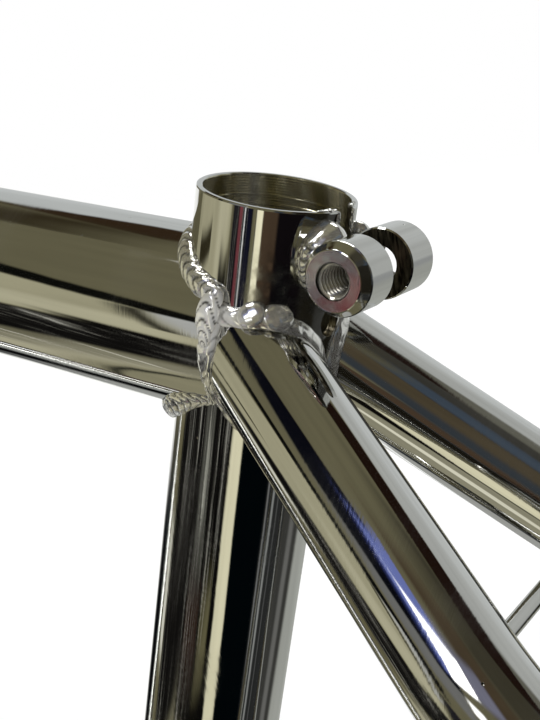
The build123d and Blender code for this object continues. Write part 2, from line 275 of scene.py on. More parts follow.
def mitre(ring, way, mains, at_most, back_at_most=60.0):
    """A ring slid along a way until each point meets the first of the bars it is fitted to."""
    fitted = []
    for point in ring:
        runs = [run_to(point, way, main) for main in mains]
        runs = [run for run in runs if run is not None and run > -back_at_most]
        fitted.append(point + way * min(runs + [at_most]))
    return fitted


def seat_tube_ring(depth, radius):
    """A ring round the seat tube's axis, at a depth below the collar's top."""
    return ring_at(COLLAR_TOP - ST_UP * depth, ST_UP, radius, ST_FACETS)


def make_plain(piece):
    """The piece's modifiers taken up in its mesh."""
    made = bpy.data.meshes.new_from_object(piece.evaluated_get(bpy.context.evaluated_depsgraph_get()))
    piece.modifiers.clear()
    piece.data = made


def cut_with(piece, cutter):
    """Takes a cutter's form out of a piece."""
    cut = piece.modifiers.new("cut", "BOOLEAN")
    cut.operation = "DIFFERENCE"
    cut.solver = "EXACT"
    cut.object = cutter
    cut.material_mode = "TRANSFER"
    make_plain(piece)
    bpy.data.objects.remove(cutter)


def fit(piece, finish_slot, *nodes):
    """The piece rides with the frame and stands for the solids named; the finish slot given is not used."""
    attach(piece, "root")
    if nodes:
        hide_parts(*nodes)


SHELL_BAR = (LEFT * -SHELL_HALF, LEFT, SHELL_RADIUS)
SEAT_TUBE_BAR = (CENTRE, ST_UP, ST_RADIUS)

# The wall's outline, as depth below the collar's top and radius: up the outside,
# over the rounded rim, and down the stepped counterbore to the post's bore.
up_outside = [(depth, ST_RADIUS) for depth in (180, 90, 40, 20, 10, 5, 0.5, 0.35)]
rim = [(0.12, ST_RADIUS - 0.08), (0.0, ST_RADIUS - 0.3), (0.0, 13.4), (0.12, 13.2), (0.35, 13.15)]
counterbore = [(3.9, 13.15), (4.05, 13.08), (4.2, 13.15), (5.4, 13.15), (5.5, 13.02), (6.5, 13.02),
               (6.6, 12.93), (7.5, 12.93), (7.55, POST_RADIUS)]
bore = [(POST_DEPTH, POST_RADIUS), (POST_DEPTH, ST_INNER_RADIUS)]
foot = [mitre(seat_tube_ring(200.0, radius), -ST_UP, [SHELL_BAR], 60.0)
        for radius in (ST_RADIUS, ST_INNER_RADIUS)]
wall = [foot[0]]
wall += [seat_tube_ring(depth, radius) for depth, radius in up_outside + rim + counterbore + bore]
wall.append(foot[1])
plated = len(up_outside) + 4
picks = [0] * plated + [1] * (len(wall) - plated)
seat_tube = skin("seat_tube_chromed", wall, [chrome, reamed, sawn], True, 30.0, picks)
above_rim, behind_wall = 2.0, 16.0
corners = [COLLAR_TOP + ST_UP * (above_rim - (SLOT_DEPTH + above_rim) * t) + LEFT * (SLOT_HALF * s)
           - ST_FORWARD * (behind_wall * b) for t in (0, 1) for s in (-1, 1) for b in (0, 1)]
saw = piece_from("saw", corners, [(0, 1, 3, 2), (4, 6, 7, 5), (0, 4, 5, 1), (2, 3, 7, 6),
                                  (0, 2, 6, 4), (1, 5, 7, 3)], [sawn])
cut_with(seat_tube, saw)
slot_end = COLLAR_TOP - ST_UP * SLOT_DEPTH
drill = skin("drill", [ring_at(slot_end - ST_FORWARD * back, -ST_FORWARD, SLOT_HOLE_RADIUS, 48)
                       for back in (0.0, behind_wall + 2.0)], [sawn], False)
cut_with(seat_tube, drill)
seat_tube.data.shade_smooth()
seat_tube.data.set_sharp_from_angle(angle=radians(12))
fit(seat_tube, "chrome", "seat_tube")

# Head tube: a straight tube of thicker wall, bored for pressed cups, with a
# raised ring turned at each end. Chrome plated with the frame.
TT_ANGLE = radians(13.45)
TT_DROP = 26.2
TT_LENGTH = 520.7
HT_ANGLE = radians(74.5)
HT_LENGTH = 118.0
HT_RADIUS = 18.8
HT_BORE_RADIUS = 17.0
HT_ABOVE_TT = 28.0
TT_ALONG = Vector((cos(TT_ANGLE), 0, sin(TT_ANGLE)))
TT_REAR = COLLAR_TOP - ST_UP * TT_DROP
TT_FRONT = TT_REAR + TT_ALONG * TT_LENGTH
HT_UP = Vector((-cos(HT_ANGLE), 0, sin(HT_ANGLE)))
HT_BOTTOM = TT_FRONT + HT_UP * (HT_ABOVE_TT - HT_LENGTH)
HT_BAR = (HT_BOTTOM, HT_UP, HT_RADIUS)
TUBE_FACETS = 256
lower_end = [(0.0, 17.3), (0.0, 19.9), (0.35, 20.25), (7.2, 20.25), (7.9, 19.7), (8.3, 18.85),
             (8.9, HT_RADIUS), (9.4, HT_RADIUS)]
outline = lower_end + [(HT_LENGTH - up, radius) for up, radius in lower_end[::-1]]
outline += [(HT_LENGTH - 0.3, HT_BORE_RADIUS), (0.3, HT_BORE_RADIUS)]
rings_up = [ring_at(HT_BOTTOM + HT_UP * up, HT_UP, radius, TUBE_FACETS) for up, radius in outline]
picks = [0] * (len(outline) - 3) + [1, 1, 1]
fit(skin("head_tube_chromed", rings_up, [chrome, reamed], True, 30.0, picks), "chrome", "head_tube")

# Bottom bracket shell: a short thick tube bored for the cups of a one piece
# crank. Its ends are faced and lightly chamfered.
SHELL_BORE_RADIUS = 25.65
outer_chamfer, inner_chamfer = 0.5, 0.55
left_end = [(SHELL_HALF - outer_chamfer, SHELL_RADIUS), (SHELL_HALF, SHELL_RADIUS - outer_chamfer),
            (SHELL_HALF, SHELL_BORE_RADIUS + inner_chamfer), (SHELL_HALF - inner_chamfer, SHELL_BORE_RADIUS)]
outline = [(-y, radius) for y, radius in left_end[2::-1]] + left_end
outline.append((inner_chamfer - SHELL_HALF, SHELL_BORE_RADIUS))
rings_along = [ring_at(LEFT * y, LEFT, radius, TUBE_FACETS) for y, radius in outline]
shell = skin("bottom_bracket_shell_chromed", rings_along, [chrome, reamed], True, 30.0,
             [0] * 5 + [1] * 3)
fit(shell, "chrome", "bottom_bracket_shell")

# Top tube and down tube: thin wall cromoly tubes, mitred to sit on the round
# tubes they join, then welded all round. The top tube is wider than the seat
# tube, so its end shows past it on both sides.
MAIN_WALL = 0.9
TT_RADIUS = 17.45
DT_RADIUS = 19.05
DT_ABOVE_HT_BOTTOM = 36.0
TT_BAR = (TT_REAR, TT_ALONG, TT_RADIUS)
DT_FRONT = HT_BOTTOM + HT_UP * DT_ABOVE_HT_BOTTOM
DT_ALONG = DT_FRONT.normalized()


def mitred_tube(node, start, end, radius, rear_main):
    """A tube from a rear bar to the head tube, mitred at both, drawn with its inner wall."""
    way = (end - start).normalized()
    middle = (start + end) / 2
    rings = []
    for r in (radius, radius - MAIN_WALL):
        centre_ring = ring_at(middle, way, r, TUBE_FACETS)
        rear = mitre(centre_ring, -way, [rear_main], (end - middle).length)
        front = mitre(centre_ring, way, [HT_BAR], (end - middle).length)
        between = [ring_at(start + (end - start) * share, way, r, TUBE_FACETS)
                   for share in (0.1, 0.3, 0.5, 0.7, 0.9)]
        run = [rear] + between + [front]
        rings += run if r == radius else run[::-1]
    fit(skin(node + "_chromed", rings, [chrome]), "chrome", node)


mitred_tube("top_tube", TT_REAR, TT_FRONT, TT_RADIUS, SEAT_TUBE_BAR)
mitred_tube("down_tube", CENTRE, DT_FRONT, DT_RADIUS, SHELL_BAR)

# Dropouts: flat steel plates with an open slot for the axle and one tab for
# each stay. They are cut from plate, their edges rounded by the polishing.
CHAIN_STAY_LENGTH = 350.0
AXLE_DROP = 40.0
AXLE = Vector((-sqrt(CHAIN_STAY_LENGTH ** 2 - AXLE_DROP ** 2), 0, -AXLE_DROP))
TO_SHELL = AXLE / -CHAIN_STAY_LENGTH
STAY_DROP = 25.3
STAY_NODE = COLLAR_TOP - ST_UP * STAY_DROP
STAY_LENGTH = (AXLE - STAY_NODE).length
STAY_ALONG = (AXLE - STAY_NODE).normalized()
PLATE_Y = 58.0
PLATE_HALF = 3.0


def fillet_corner(before, corner, after, radius):
    """Points of the arc that rounds one corner of an outline."""
    a, b = (before - corner).normalized(), (after - corner).normalized()
    half = a.angle(b) / 2
    reach = radius / tan(half)
    centre = corner + (a + b).normalized() * (radius / sin(half))
    start, end = corner + a * reach, corner + b * reach
    sweep = (start - centre).angle(end - centre)
    arc = []
    for k in range(9):
        blend = k / 8
        mixed = (start - centre) * sin((1 - blend) * sweep) + (end - centre) * sin(blend * sweep)
        arc.append(centre + mixed / sin(sweep))
    return arc


def dropout_outline():
    """The plate's outline, in the plane of the chain stay and across it."""
    climb = asin(STAY_ALONG.cross(TO_SHELL).length)
    half_tab, tab, half, body, rear, heel, waist = 7.7, 52.0, 15.5, 28.0, 22.0, 9.0, 23.0
    slot_end, slot_radius, rounding = 4.0, 5.0, 5.0
    tip = Vector((cos(climb), sin(climb), 0)) * tab
    across = Vector((-sin(climb), cos(climb), 0)) * half_tab
    corner = [Vector((-rear, -half, 0)), Vector((heel, -half, 0)), Vector((waist, -half_tab, 0)),
              Vector((tab, -half_tab, 0)), Vector((tab, half_tab, 0)),
              Vector((half_tab / tan(climb / 2), half_tab, 0)), tip - across, tip + across,
              tip * (half / tab) + across, Vector((-rear, half, 0))]
    edge = []
    for k, point in enumerate(corner):
        if point.x < body:
            edge += fillet_corner(corner[k - 1], point, corner[(k + 1) % len(corner)], rounding)
        else:
            edge.append(point)
    edge.append(Vector((-rear, slot_radius, 0)))
    for k in range(25):
        angle = pi / 2 - pi * k / 24
        edge.append(Vector((slot_end + slot_radius * cos(angle), slot_radius * sin(angle), 0)))
    edge.append(Vector((-rear, -slot_radius, 0)))
    return edge


def dropout_piece(side, node):
    """A plate cut to the outline, its edges rounded over by the polishing."""
    across = TO_SHELL.cross(LEFT)
    flat = dropout_outline()
    points = []
    for y in (PLATE_Y - PLATE_HALF, PLATE_Y + PLATE_HALF):
        points += [AXLE + TO_SHELL * p.x + across * p.y + LEFT * (side * y) for p in flat]
    count = len(flat)
    faces = [tuple(range(count)), tuple(range(count, 2 * count))]
    faces += [(k, (k + 1) % count, (k + 1) % count + count, k + count) for k in range(count)]
    plate = piece_from(node + "_chromed", points, faces, [chrome])
    rounding = plate.modifiers.new("rounded edges", "BEVEL")
    rounding.width = 0.7 * MM
    rounding.segments = 3
    rounding.limit_method = "ANGLE"
    rounding.angle_limit = radians(50)
    make_plain(plate)
    plate.data.shade_smooth()
    plate.data.set_sharp_from_angle(angle=radians(30))
    fit(plate, "chrome", node)


dropout_piece(1, "dropout_left")
dropout_piece(-1, "dropout_right")

# Stays: round cromoly tubes that taper to the dropouts. The seat stays leave
# the seat tube splayed, bend once to run in line with the plates, and the
# chain stays run straight from the shell. Their tips are closed over the plates.
STAY_RADIUS = 9.525
TIP_RADIUS = 7.15
TIP_FROM_AXLE = 37.0
TAPER_LENGTH = 120.0
SPLAY = tan(radians(19.4))
STAY_START = 20.0
STAY_TOP_Y = 6.5
BEND_AT = 73.0
BEND_RADIUS = 60.0
SEAT_STAY_TIP = STAY_LENGTH - TIP_FROM_AXLE
CHAIN_STAY_Y = 17.582
CHAIN_STAY_START = 300.0
STAY_FACETS = 160


def stay_place(side, distance):
    """A point on a seat stay's axis, by its distance from the seat tube in side view."""
    bend_y = STAY_TOP_Y + SPLAY * BEND_AT
    y = STAY_TOP_Y + SPLAY * distance
    if distance > BEND_AT:
        y = bend_y + (PLATE_Y - bend_y) * (distance - BEND_AT) / (SEAT_STAY_TIP - BEND_AT)
    return STAY_NODE + STAY_ALONG * distance + LEFT * (side * y)


def chain_stay_place(side, distance):
    """A point on a chain stay's axis, by its distance from the axle in side view."""
    share = (CHAIN_STAY_LENGTH - distance) / (CHAIN_STAY_LENGTH - TIP_FROM_AXLE)
    y = CHAIN_STAY_Y + (PLATE_Y - CHAIN_STAY_Y) * share
    return AXLE + TO_SHELL * distance + LEFT * (side * y)


def seat_stay_stations(side):
    """Places along the axis: the straight top, the arc of the bend, the run and the taper."""
    top, bend, tip = [stay_place(side, at) for at in (STAY_START, BEND_AT, SEAT_STAY_TIP)]
    arc = fillet_corner(top, bend, tip, BEND_RADIUS)
    taper = stay_place(side, SEAT_STAY_TIP - TAPER_LENGTH)
    return [top, top.lerp(arc[0], 0.5)] + arc + [arc[-1].lerp(taper, 0.5), taper, tip]


def stay(node, stations, mains, at_most, straight):
    """A stay: rings square to its path, the first mitred, the last narrow and rounded off."""
    rings = []
    for k, point in enumerate(stations):
        before, after = stations[max(k - 1, 0)], stations[min(k + 1, len(stations) - 1)]
        radius = TIP_RADIUS if k == len(stations) - 1 else STAY_RADIUS
        rings.append(ring_at(point, (after - before).normalized(), radius, STAY_FACETS))
    top_way = (stations[1] - stations[0]).normalized()
    rings[0] = mitre(ring_at(stations[0], top_way, STAY_RADIUS, STAY_FACETS), -top_way, mains, at_most)
    if straight:
        rings.insert(1, ring_at(stations[0] + top_way * straight, top_way, STAY_RADIUS, STAY_FACETS))
    way = (stations[-1] - stations[-2]).normalized()
    steps, last_turn, bulge = 6, 6.3, 0.28 * TIP_RADIUS
    for k in range(1, steps + 1):
        angle = k / last_turn * pi / 2
        rings.append(ring_at(stations[-1] + way * (bulge * sin(angle)), way, TIP_RADIUS * cos(angle),
                             STAY_FACETS))
    fit(skin(node + "_chromed", rings, [chrome], False), "chrome", node)


midway = 230.0
for side, hand in ((1, "left"), (-1, "right")):
    stay("seat_stay_" + hand, seat_stay_stations(side), [SEAT_TUBE_BAR, TT_BAR], 26.0, 4.0)
    distances = (CHAIN_STAY_START, midway, TIP_FROM_AXLE + TAPER_LENGTH, TIP_FROM_AXLE)
    stay("chain_stay_" + hand, [chain_stay_place(side, at) for at in distances], [SHELL_BAR], 60.0, 0.0)

# Cross pieces: a thin rod joins the seat stays near their bends, and a short
# tube joins the chain stays behind the shell. Both are welded in at their ends.
ROD_AT = 67.8
ROD_RADIUS = 1.5
BRIDGE_AT = 278.0
BRIDGE_RADIUS = 6.35


def cross_bar(node, ends, radius, around):
    """A round bar between two stays, its ends hidden inside them."""
    inward = LEFT * 5.0
    left_end, right_end = ends[0] - inward, ends[1] + inward
    way = (left_end - right_end).normalized()
    rings = [ring_at(end, way, radius, around) for end in (right_end, left_end)]
    fit(skin(node + "_chromed", rings, [chrome], False), "chrome", node)


cross_bar("seat_stay_bridge", [stay_place(side, ROD_AT) for side in (1, -1)], ROD_RADIUS, 48)
cross_bar("chain_stay_bridge", [chain_stay_place(side, BRIDGE_AT) for side in (1, -1)], BRIDGE_RADIUS, 96)

# Clamp bosses: turned steel, welded to the collar on each side of the slot. The
# left one is tapped for the bolt and has a coned nose, the right one is plain.
# Their end faces show the lathe's rings and a painted pink reflection, in cloudy patches and stronger lower
# down.
BOSS_DROP = 8.7
BOSS_SETBACK = 20.1
BOSS_RADIUS = 6.35
BOSS = COLLAR_TOP - ST_UP * BOSS_DROP - ST_FORWARD * BOSS_SETBACK
turned, tree = new_finish("turned_steel_end_face")
place = add_node(tree, "ShaderNodeTexCoord").outputs["Object"]
from_axis = add_node(tree, "ShaderNodeVectorMath", "SUBTRACT", {0: place, 1: BOSS * MM})
flattened = add_node(tree, "ShaderNodeVectorMath", "MULTIPLY", {0: from_axis, 1: (1, 0, 1)})
rings = add_node(tree, "ShaderNodeTexWave", {"wave_type": "RINGS", "rings_direction": "SPHERICAL"},
                 {"Vector": flattened, "Scale": WAVE_PERIOD / 0.0003, "Distortion": 1.5, "Detail": 3.0})
dents = add_node(tree, "ShaderNodeTexNoise", None, {"Vector": place, "Scale": 1 / 0.0006, "Detail": 4.0})
worn = add_node(tree, "ShaderNodeMath", "MULTIPLY_ADD", {0: dents, 1: 1.4, 2: rings.outputs["Fac"]})
grooved = add_node(tree, "ShaderNodeBump", None, {"Strength": 0.5, "Distance": 0.00006, "Height": worn})
# Painted reflection: a rose tint in cloudy patches, stronger lower down on the face.
cloudy = add_node(tree, "ShaderNodeTexNoise", None, {"Vector": place, "Scale": 1 / 0.0011, "Detail": 6.0})
height = add_node(tree, "ShaderNodeVectorMath", "DOT_PRODUCT", {0: from_axis, 1: (0.55, 0.0, 0.83)})
rose_lower_down = add_node(tree, "ShaderNodeMapRange", None,
                 {"Value": height.outputs["Value"], "From Min": -0.005, "From Max": 0.002,
                  "To Min": 0.2, "To Max": -0.45})
rose_reflection_share = add_node(tree, "ShaderNodeMath", "MULTIPLY_ADD", {0: cloudy, 1: 1.1, 2: rose_lower_down})
rose_reflection_tint = add_node(tree, "ShaderNodeMix", {"data_type": "RGBA"},
                  {0: rose_reflection_share, 6: linear("#DAD8DE"), 7: linear("#B55563")})
rubbed = add_node(tree, "ShaderNodeMapRange", None,
                  {"Value": worn, "From Min": 0.75, "From Max": 1.35, "To Min": 0.62, "To Max": 1.0})
tone = add_node(tree, "ShaderNodeMix", {"data_type": "RGBA", "blend_type": "MULTIPLY"},
                {0: 1.0, 6: rose_reflection_tint.outputs[2], 7: rubbed})
surface = add_node(tree, "ShaderNodeBsdfPrincipled", None,
                   {"Base Color": tone.outputs[2], "Metallic": 0.9, "Roughness": 0.2, "Normal": grooved})
add_node(tree, "ShaderNodeOutputMaterial", None, {"Surface": surface})


def turned_boss(node, outline, picks):
    """A boss turned about the bolt's axis, from its outline as place on the axis and radius."""
    rings = [ring_at(BOSS + LEFT * y, LEFT, radius, 160) for y, radius in outline]
    fit(skin(node + "_chromed", rings, [chrome, sawn, turned], True, 12.0, picks), "chrome", node)


turned_boss("clamp_boss_left",
            [(3.5, 3.25), (3.5, 6.1), (3.75, BOSS_RADIUS), (10.7, BOSS_RADIUS), (10.85, 6.3), (10.95, 6.18),
             (12.35, 5.3), (12.55, 5.22), (12.65, 5.05), (12.65, 3.2), (12.4, 3.08), (3.65, 3.08)],
            [1, 0, 0, 0, 0, 0, 0, 0, 2, 0, 1, 1])
turned_boss("clamp_boss_right",
            [(-3.5, 3.25), (-3.5, 6.1), (-3.75, BOSS_RADIUS), (-11.4, BOSS_RADIUS), (-11.7, 6.22),
             (-11.8, 5.95), (-11.8, 3.55), (-11.5, 3.25)],
            [1, 0, 0, 0, 0, 2, 1, 1])

# The left boss's thread: cut with a 6 mm tap of 1 mm pitch. Every point of a
# plain tube is moved out by its place in the turn it is in. It is bright at the
# mouth; painted shade, partly old oil, darkens the roots and further in, over some 5 mm.
thread_steel, tree = new_finish("tapped_steel_thread")
place = add_node(tree, "ShaderNodeTexCoord").outputs["Object"]
swarf = add_node(tree, "ShaderNodeTexNoise", None, {"Vector": place, "Scale": 1 / 0.0004, "Detail": 2.0})
torn = add_node(tree, "ShaderNodeBump", None, {"Strength": 0.2, "Distance": 0.00005, "Height": swarf})
place_y = add_node(tree, "ShaderNodeSeparateXYZ", None, {"Vector": place}).outputs["Y"]
# Painted shade, partly old oil: the thread darkens from the mouth inwards.
deeper_in_shade = add_node(tree, "ShaderNodeMapRange", None,
                 {"Value": place_y, "From Min": 0.003, "From Max": 0.0085})
metal = add_node(tree, "ShaderNodeMix", {"data_type": "RGBA"},
                 {0: deeper_in_shade, 6: linear("#3B372E"), 7: linear("#EDE9DC")})
# Painted shade, partly old oil: the roots, marked by the 'root' attribute, go nearly black.
root = add_node(tree, "ShaderNodeAttribute", {"attribute_type": "GEOMETRY", "attribute_name": "root"})
tone = add_node(tree, "ShaderNodeMix", {"data_type": "RGBA"},
                {0: root.outputs["Fac"], 6: metal.outputs[2], 7: linear("#1C1A15")})
surface = add_node(tree, "ShaderNodeBsdfPrincipled", None,
                   {"Base Color": tone.outputs[2], "Metallic": 0.8, "Roughness": 0.18, "Normal": torn})
add_node(tree, "ShaderNodeOutputMaterial", None, {"Surface": surface})


def new_rule(name, sizes):
    """A Geometry Nodes tree that takes a shape, a material and the sizes given, and gives a shape."""
    rule = bpy.data.node_groups.new(name, "GeometryNodeTree")
    rule.interface.new_socket("Geometry", in_out="INPUT", socket_type="NodeSocketGeometry")
    for label, value in sizes.items():
        kind = "NodeSocketInt" if isinstance(value, int) else "NodeSocketFloat"
        rule.interface.new_socket(label, in_out="INPUT", socket_type=kind).default_value = value
    rule.interface.new_socket("Material", in_out="INPUT", socket_type="NodeSocketMaterial")
    rule.interface.new_socket("Geometry", in_out="OUTPUT", socket_type="NodeSocketGeometry")
    return rule


def end_rule(rule, given, shape):
    """The end of each tree: smooth, with no instances left, and in the material it was given."""
    smooth = add_node(rule, "GeometryNodeSetShadeSmooth", None, {"Geometry": shape})
    real = add_node(rule, "GeometryNodeRealizeInstances", None, {"Geometry": smooth})
    done = add_node(rule, "GeometryNodeSetMaterial", None, {"Geometry": real, "Material": given["Material"]})
    add_node(rule, "NodeGroupOutput", None, {"Geometry": done})


def follow_rule(piece, rule, finish, sizes):
    """The piece's mesh made over by a rule, with its finish and sizes, into a plain mesh."""
    made_by = piece.modifiers.new(rule.name, "NODES")
    made_by.node_group = rule
    sockets = {item.name: item.identifier for item in rule.interface.items_tree if item.in_out == "INPUT"}
    made_by[sockets["Material"]] = finish
    for label, value in sizes.items():
        made_by[sockets[label.replace("_", " ")]] = value
    make_plain(piece)


tap = new_rule("thread_in_a_hole", {"Length": 0.0092, "Pitch": 0.001, "Core Radius": 0.00255,
                                    "Depth": 0.00048, "Around": 96, "Along": 110})
given = add_node(tap, "NodeGroupInput").outputs
plain = add_node(tap, "GeometryNodeMeshCylinder", {"fill_type": "NONE"},
                 {"Vertices": given["Around"], "Side Segments": given["Along"],
                  "Radius": given["Core Radius"], "Depth": given["Length"]})
spot = add_node(tap, "GeometryNodeInputPosition")
parts = add_node(tap, "ShaderNodeSeparateXYZ", None, {"Vector": spot}).outputs
angle = add_node(tap, "ShaderNodeMath", "ARCTAN2", {0: parts["Y"], 1: parts["X"]})
turns = add_node(tap, "ShaderNodeMath", "DIVIDE", {0: angle, 1: 2 * pi})
level = add_node(tap, "ShaderNodeMath", "DIVIDE", {0: parts["Z"], 1: given["Pitch"]})
phase = add_node(tap, "ShaderNodeMath", "SUBTRACT", {0: level, 1: turns})
groove = add_node(tap, "ShaderNodeMath", "PINGPONG", {0: phase, 1: 0.5})
flank = add_node(tap, "ShaderNodeMapRange", {"interpolation_type": "SMOOTHSTEP"},
                 {"Value": groove, "From Min": 0.05, "From Max": 0.45})
half_length = add_node(tap, "ShaderNodeMath", "DIVIDE", {0: given["Length"], 1: 2.0})
from_middle = add_node(tap, "ShaderNodeMath", "ABSOLUTE", {0: parts["Z"]})
from_end = add_node(tap, "ShaderNodeMath", "SUBTRACT", {0: half_length, 1: from_middle})
lead_in = add_node(tap, "ShaderNodeMapRange", None,
                   {"Value": from_end, "From Max": 0.0006, "To Min": 1.08, "To Max": 0.0})
depth = add_node(tap, "ShaderNodeMath", "MAXIMUM", {0: flank, 1: lead_in})
out = add_node(tap, "ShaderNodeMath", "MULTIPLY", {0: depth, 1: given["Depth"]})
flat_spot = add_node(tap, "ShaderNodeVectorMath", "MULTIPLY", {0: spot, 1: (1, 1, 0)})
away = add_node(tap, "ShaderNodeVectorMath", "NORMALIZE", {0: flat_spot})
moved = add_node(tap, "ShaderNodeVectorMath", "SCALE", {0: away, "Scale": out})
# The 'root' attribute marks the thread's roots for the painted shade in its finish.
rooted = add_node(tap, "GeometryNodeStoreNamedAttribute", {"data_type": "FLOAT", "domain": "POINT"},
                  {"Geometry": plain, "Name": "root", "Value": flank})
cut = add_node(tap, "GeometryNodeSetPosition", None, {"Geometry": rooted, "Offset": moved})
end_rule(tap, given, add_node(tap, "GeometryNodeFlipFaces", None, {"Mesh": cut}))

THREAD_MIDDLE_Y = 7.95
thread = new_piece("clamp_boss_left_thread", bpy.data.meshes.new("clamp_boss_left_thread"))
follow_rule(thread, tap, thread_steel, {})
into_place = Matrix.Translation((BOSS + LEFT * THREAD_MIDDLE_Y) * MM)
thread.data.transform(into_place @ Matrix.Rotation(-pi / 2, 4, "X"))
fit(thread, "chrome")

# Weld beads: steel laid in every corner where one tube meets another, in short
# overlapping pools that leave crescent ripples, then plated with the frame.

# Chromed weld metal: the plate follows the frozen metal's fine skin, so the gloss
# is a little soft and pale, and the creases between the pools are darkened as painted shade.
# Deep in the corners where a stay meets the top tube, the plate is made less metallic, so the even white
# light brightens it there as a painted highlight.
weld, tree = new_finish("chromed_weld_metal")
unshaded_crest_share = add_node(tree, "ShaderNodeAttribute",
                       {"attribute_type": "GEOMETRY", "attribute_name": "crest"})
place = add_node(tree, "ShaderNodeTexCoord").outputs["Object"]
grain = add_node(tree, "ShaderNodeTexNoise", None, {"Vector": place, "Scale": 1 / 0.0007, "Detail": 3.0})
skin_bump = add_node(tree, "ShaderNodeBump", None, {"Strength": 0.06, "Distance": 0.00006, "Height": grain})
cloud = add_node(tree, "ShaderNodeTexNoise", None, {"Vector": place, "Scale": 1 / 0.004, "Detail": 2.0})
gloss = add_node(tree, "ShaderNodeMapRange", None,
                 {"Value": cloud, "From Min": 0.35, "From Max": 0.65, "To Min": 0.09, "To Max": 0.22})
# Painted shade: where the 'crest' attribute falls, in the creases between the pools, the colour goes dark.
tone = add_node(tree, "ShaderNodeMix", {"data_type": "RGBA"},
                {0: unshaded_crest_share.outputs["Fac"], 6: linear("#2B2924"), 7: linear("#F6F5F0")})
# Painted highlight: near the corner where a stay meets the top tube the plate is less metallic, so the even
# white light shows on it.
either_side = add_node(tree, "ShaderNodeVectorMath", "ABSOLUTE", {0: place})
stay_corner_spot = (0.0805, 0.0165, 0.2325)
from_corner = add_node(tree, "ShaderNodeVectorMath", "DISTANCE", {0: either_side, 1: stay_corner_spot})
metallic_lowered_for_highlight = add_node(tree, "ShaderNodeMapRange", None,
                     {"Value": from_corner.outputs["Value"], "From Min": 0.003, "From Max": 0.0075,
                      "To Min": 0.55, "To Max": 0.92})
surface = add_node(tree, "ShaderNodeBsdfPrincipled", None,
                   {"Base Color": tone.outputs[2], "Metallic": metallic_lowered_for_highlight, "Roughness": gloss,
                    "Normal": skin_bump})
add_node(tree, "ShaderNodeOutputMaterial", None, {"Surface": surface})

# The seam becomes a curve with one ripple to each pitch, a round bar is swept
# along it, and each point of the bar is lifted by its place in its ripple. The
# ripples bow forward in the middle, as molten metal freezes behind the torch.
beads = new_rule("weld_bead_along_a_seam", {"Ripple Pitch": 0.0021, "Ripple Height": 0.00024, "Bow": 1.1,
                                            "Unevenness": 0.5, "Flatness": 0.6, "Facets": 28,
                                            "Steps per Ripple": 12, "Seed": 0})
given = add_node(beads, "NodeGroupInput").outputs
seam = add_node(beads, "GeometryNodeMeshToCurve", None, {"Mesh": given["Geometry"]})
step = add_node(beads, "ShaderNodeMath", "DIVIDE",
                {0: given["Ripple Pitch"], 1: given["Steps per Ripple"]})
fine = add_node(beads, "GeometryNodeResampleCurve", {"mode": "LENGTH"}, {"Curve": seam, "Length": step})
total = add_node(beads, "GeometryNodeSplineLength").outputs["Length"]
ripples = add_node(beads, "ShaderNodeMath", "DIVIDE", {0: total, 1: given["Ripple Pitch"]})
ripples = add_node(beads, "ShaderNodeMath", "ROUND", {0: ripples})
share = add_node(beads, "GeometryNodeSplineParameter").outputs["Factor"]
along_seam = add_node(beads, "ShaderNodeMath", "MULTIPLY", {0: share, 1: ripples})
spot = add_node(beads, "GeometryNodeInputPosition")
marked = fine
for label, kind, value in (("phase", "FLOAT", along_seam), ("middle", "FLOAT_VECTOR", spot),
                           ("heading", "FLOAT_VECTOR", add_node(beads, "GeometryNodeInputTangent"))):
    marked = add_node(beads, "GeometryNodeStoreNamedAttribute", {"data_type": kind, "domain": "POINT"},
                      {"Geometry": marked, "Name": label, "Value": value})
stored = {}
for label, kind in (("phase", "FLOAT"), ("half_width", "FLOAT"), ("ripple_share", "FLOAT"),
                    ("middle", "FLOAT_VECTOR"), ("heading", "FLOAT_VECTOR"), ("outward", "FLOAT_VECTOR")):
    stored[label] = add_node(beads, "GeometryNodeInputNamedAttribute", {"data_type": kind},
                             {"Name": label}).outputs["Attribute"]
profile = add_node(beads, "GeometryNodeCurvePrimitiveCircle", {"mode": "RADIUS"},
                   {"Resolution": given["Facets"], "Radius": 1.0})
swept = add_node(beads, "GeometryNodeCurveToMesh", None,
                 {"Curve": marked, "Profile Curve": profile, "Scale": stored["half_width"],
                  "Fill Caps": True})
offset = add_node(beads, "ShaderNodeVectorMath", "SUBTRACT", {0: spot, 1: stored["middle"]})
to_side = add_node(beads, "ShaderNodeVectorMath", "CROSS_PRODUCT",
                   {0: stored["heading"], 1: stored["outward"]})
x = add_node(beads, "ShaderNodeVectorMath", "DOT_PRODUCT", {0: offset, 1: to_side}).outputs["Value"]
x = add_node(beads, "ShaderNodeMath", "DIVIDE", {0: x, 1: stored["half_width"]})
bow = add_node(beads, "ShaderNodeMath", "MULTIPLY", {0: x, 1: x})
bow = add_node(beads, "ShaderNodeMath", "MULTIPLY_ADD", {0: bow, 1: given["Bow"], 2: stored["phase"]})
chance = add_node(beads, "ShaderNodeMath", "MULTIPLY_ADD", {0: given["Seed"], 1: 31.7, 2: stored["phase"]})
wander = add_node(beads, "ShaderNodeTexNoise", {"noise_dimensions": "1D"},
                  {"W": chance, "Scale": 0.45, "Detail": 1.0})
wander = add_node(beads, "ShaderNodeMath", "SUBTRACT", {0: wander, 1: 0.5})
wander = add_node(beads, "ShaderNodeMath", "MULTIPLY", {0: wander, 1: given["Unevenness"]})
in_ripple = add_node(beads, "ShaderNodeMath", "MULTIPLY_ADD", {0: wander, 1: 1.6, 2: bow})
crest = add_node(beads, "ShaderNodeMath", "MULTIPLY", {0: in_ripple, 1: pi})
crest = add_node(beads, "ShaderNodeMath", "SINE", {0: crest})
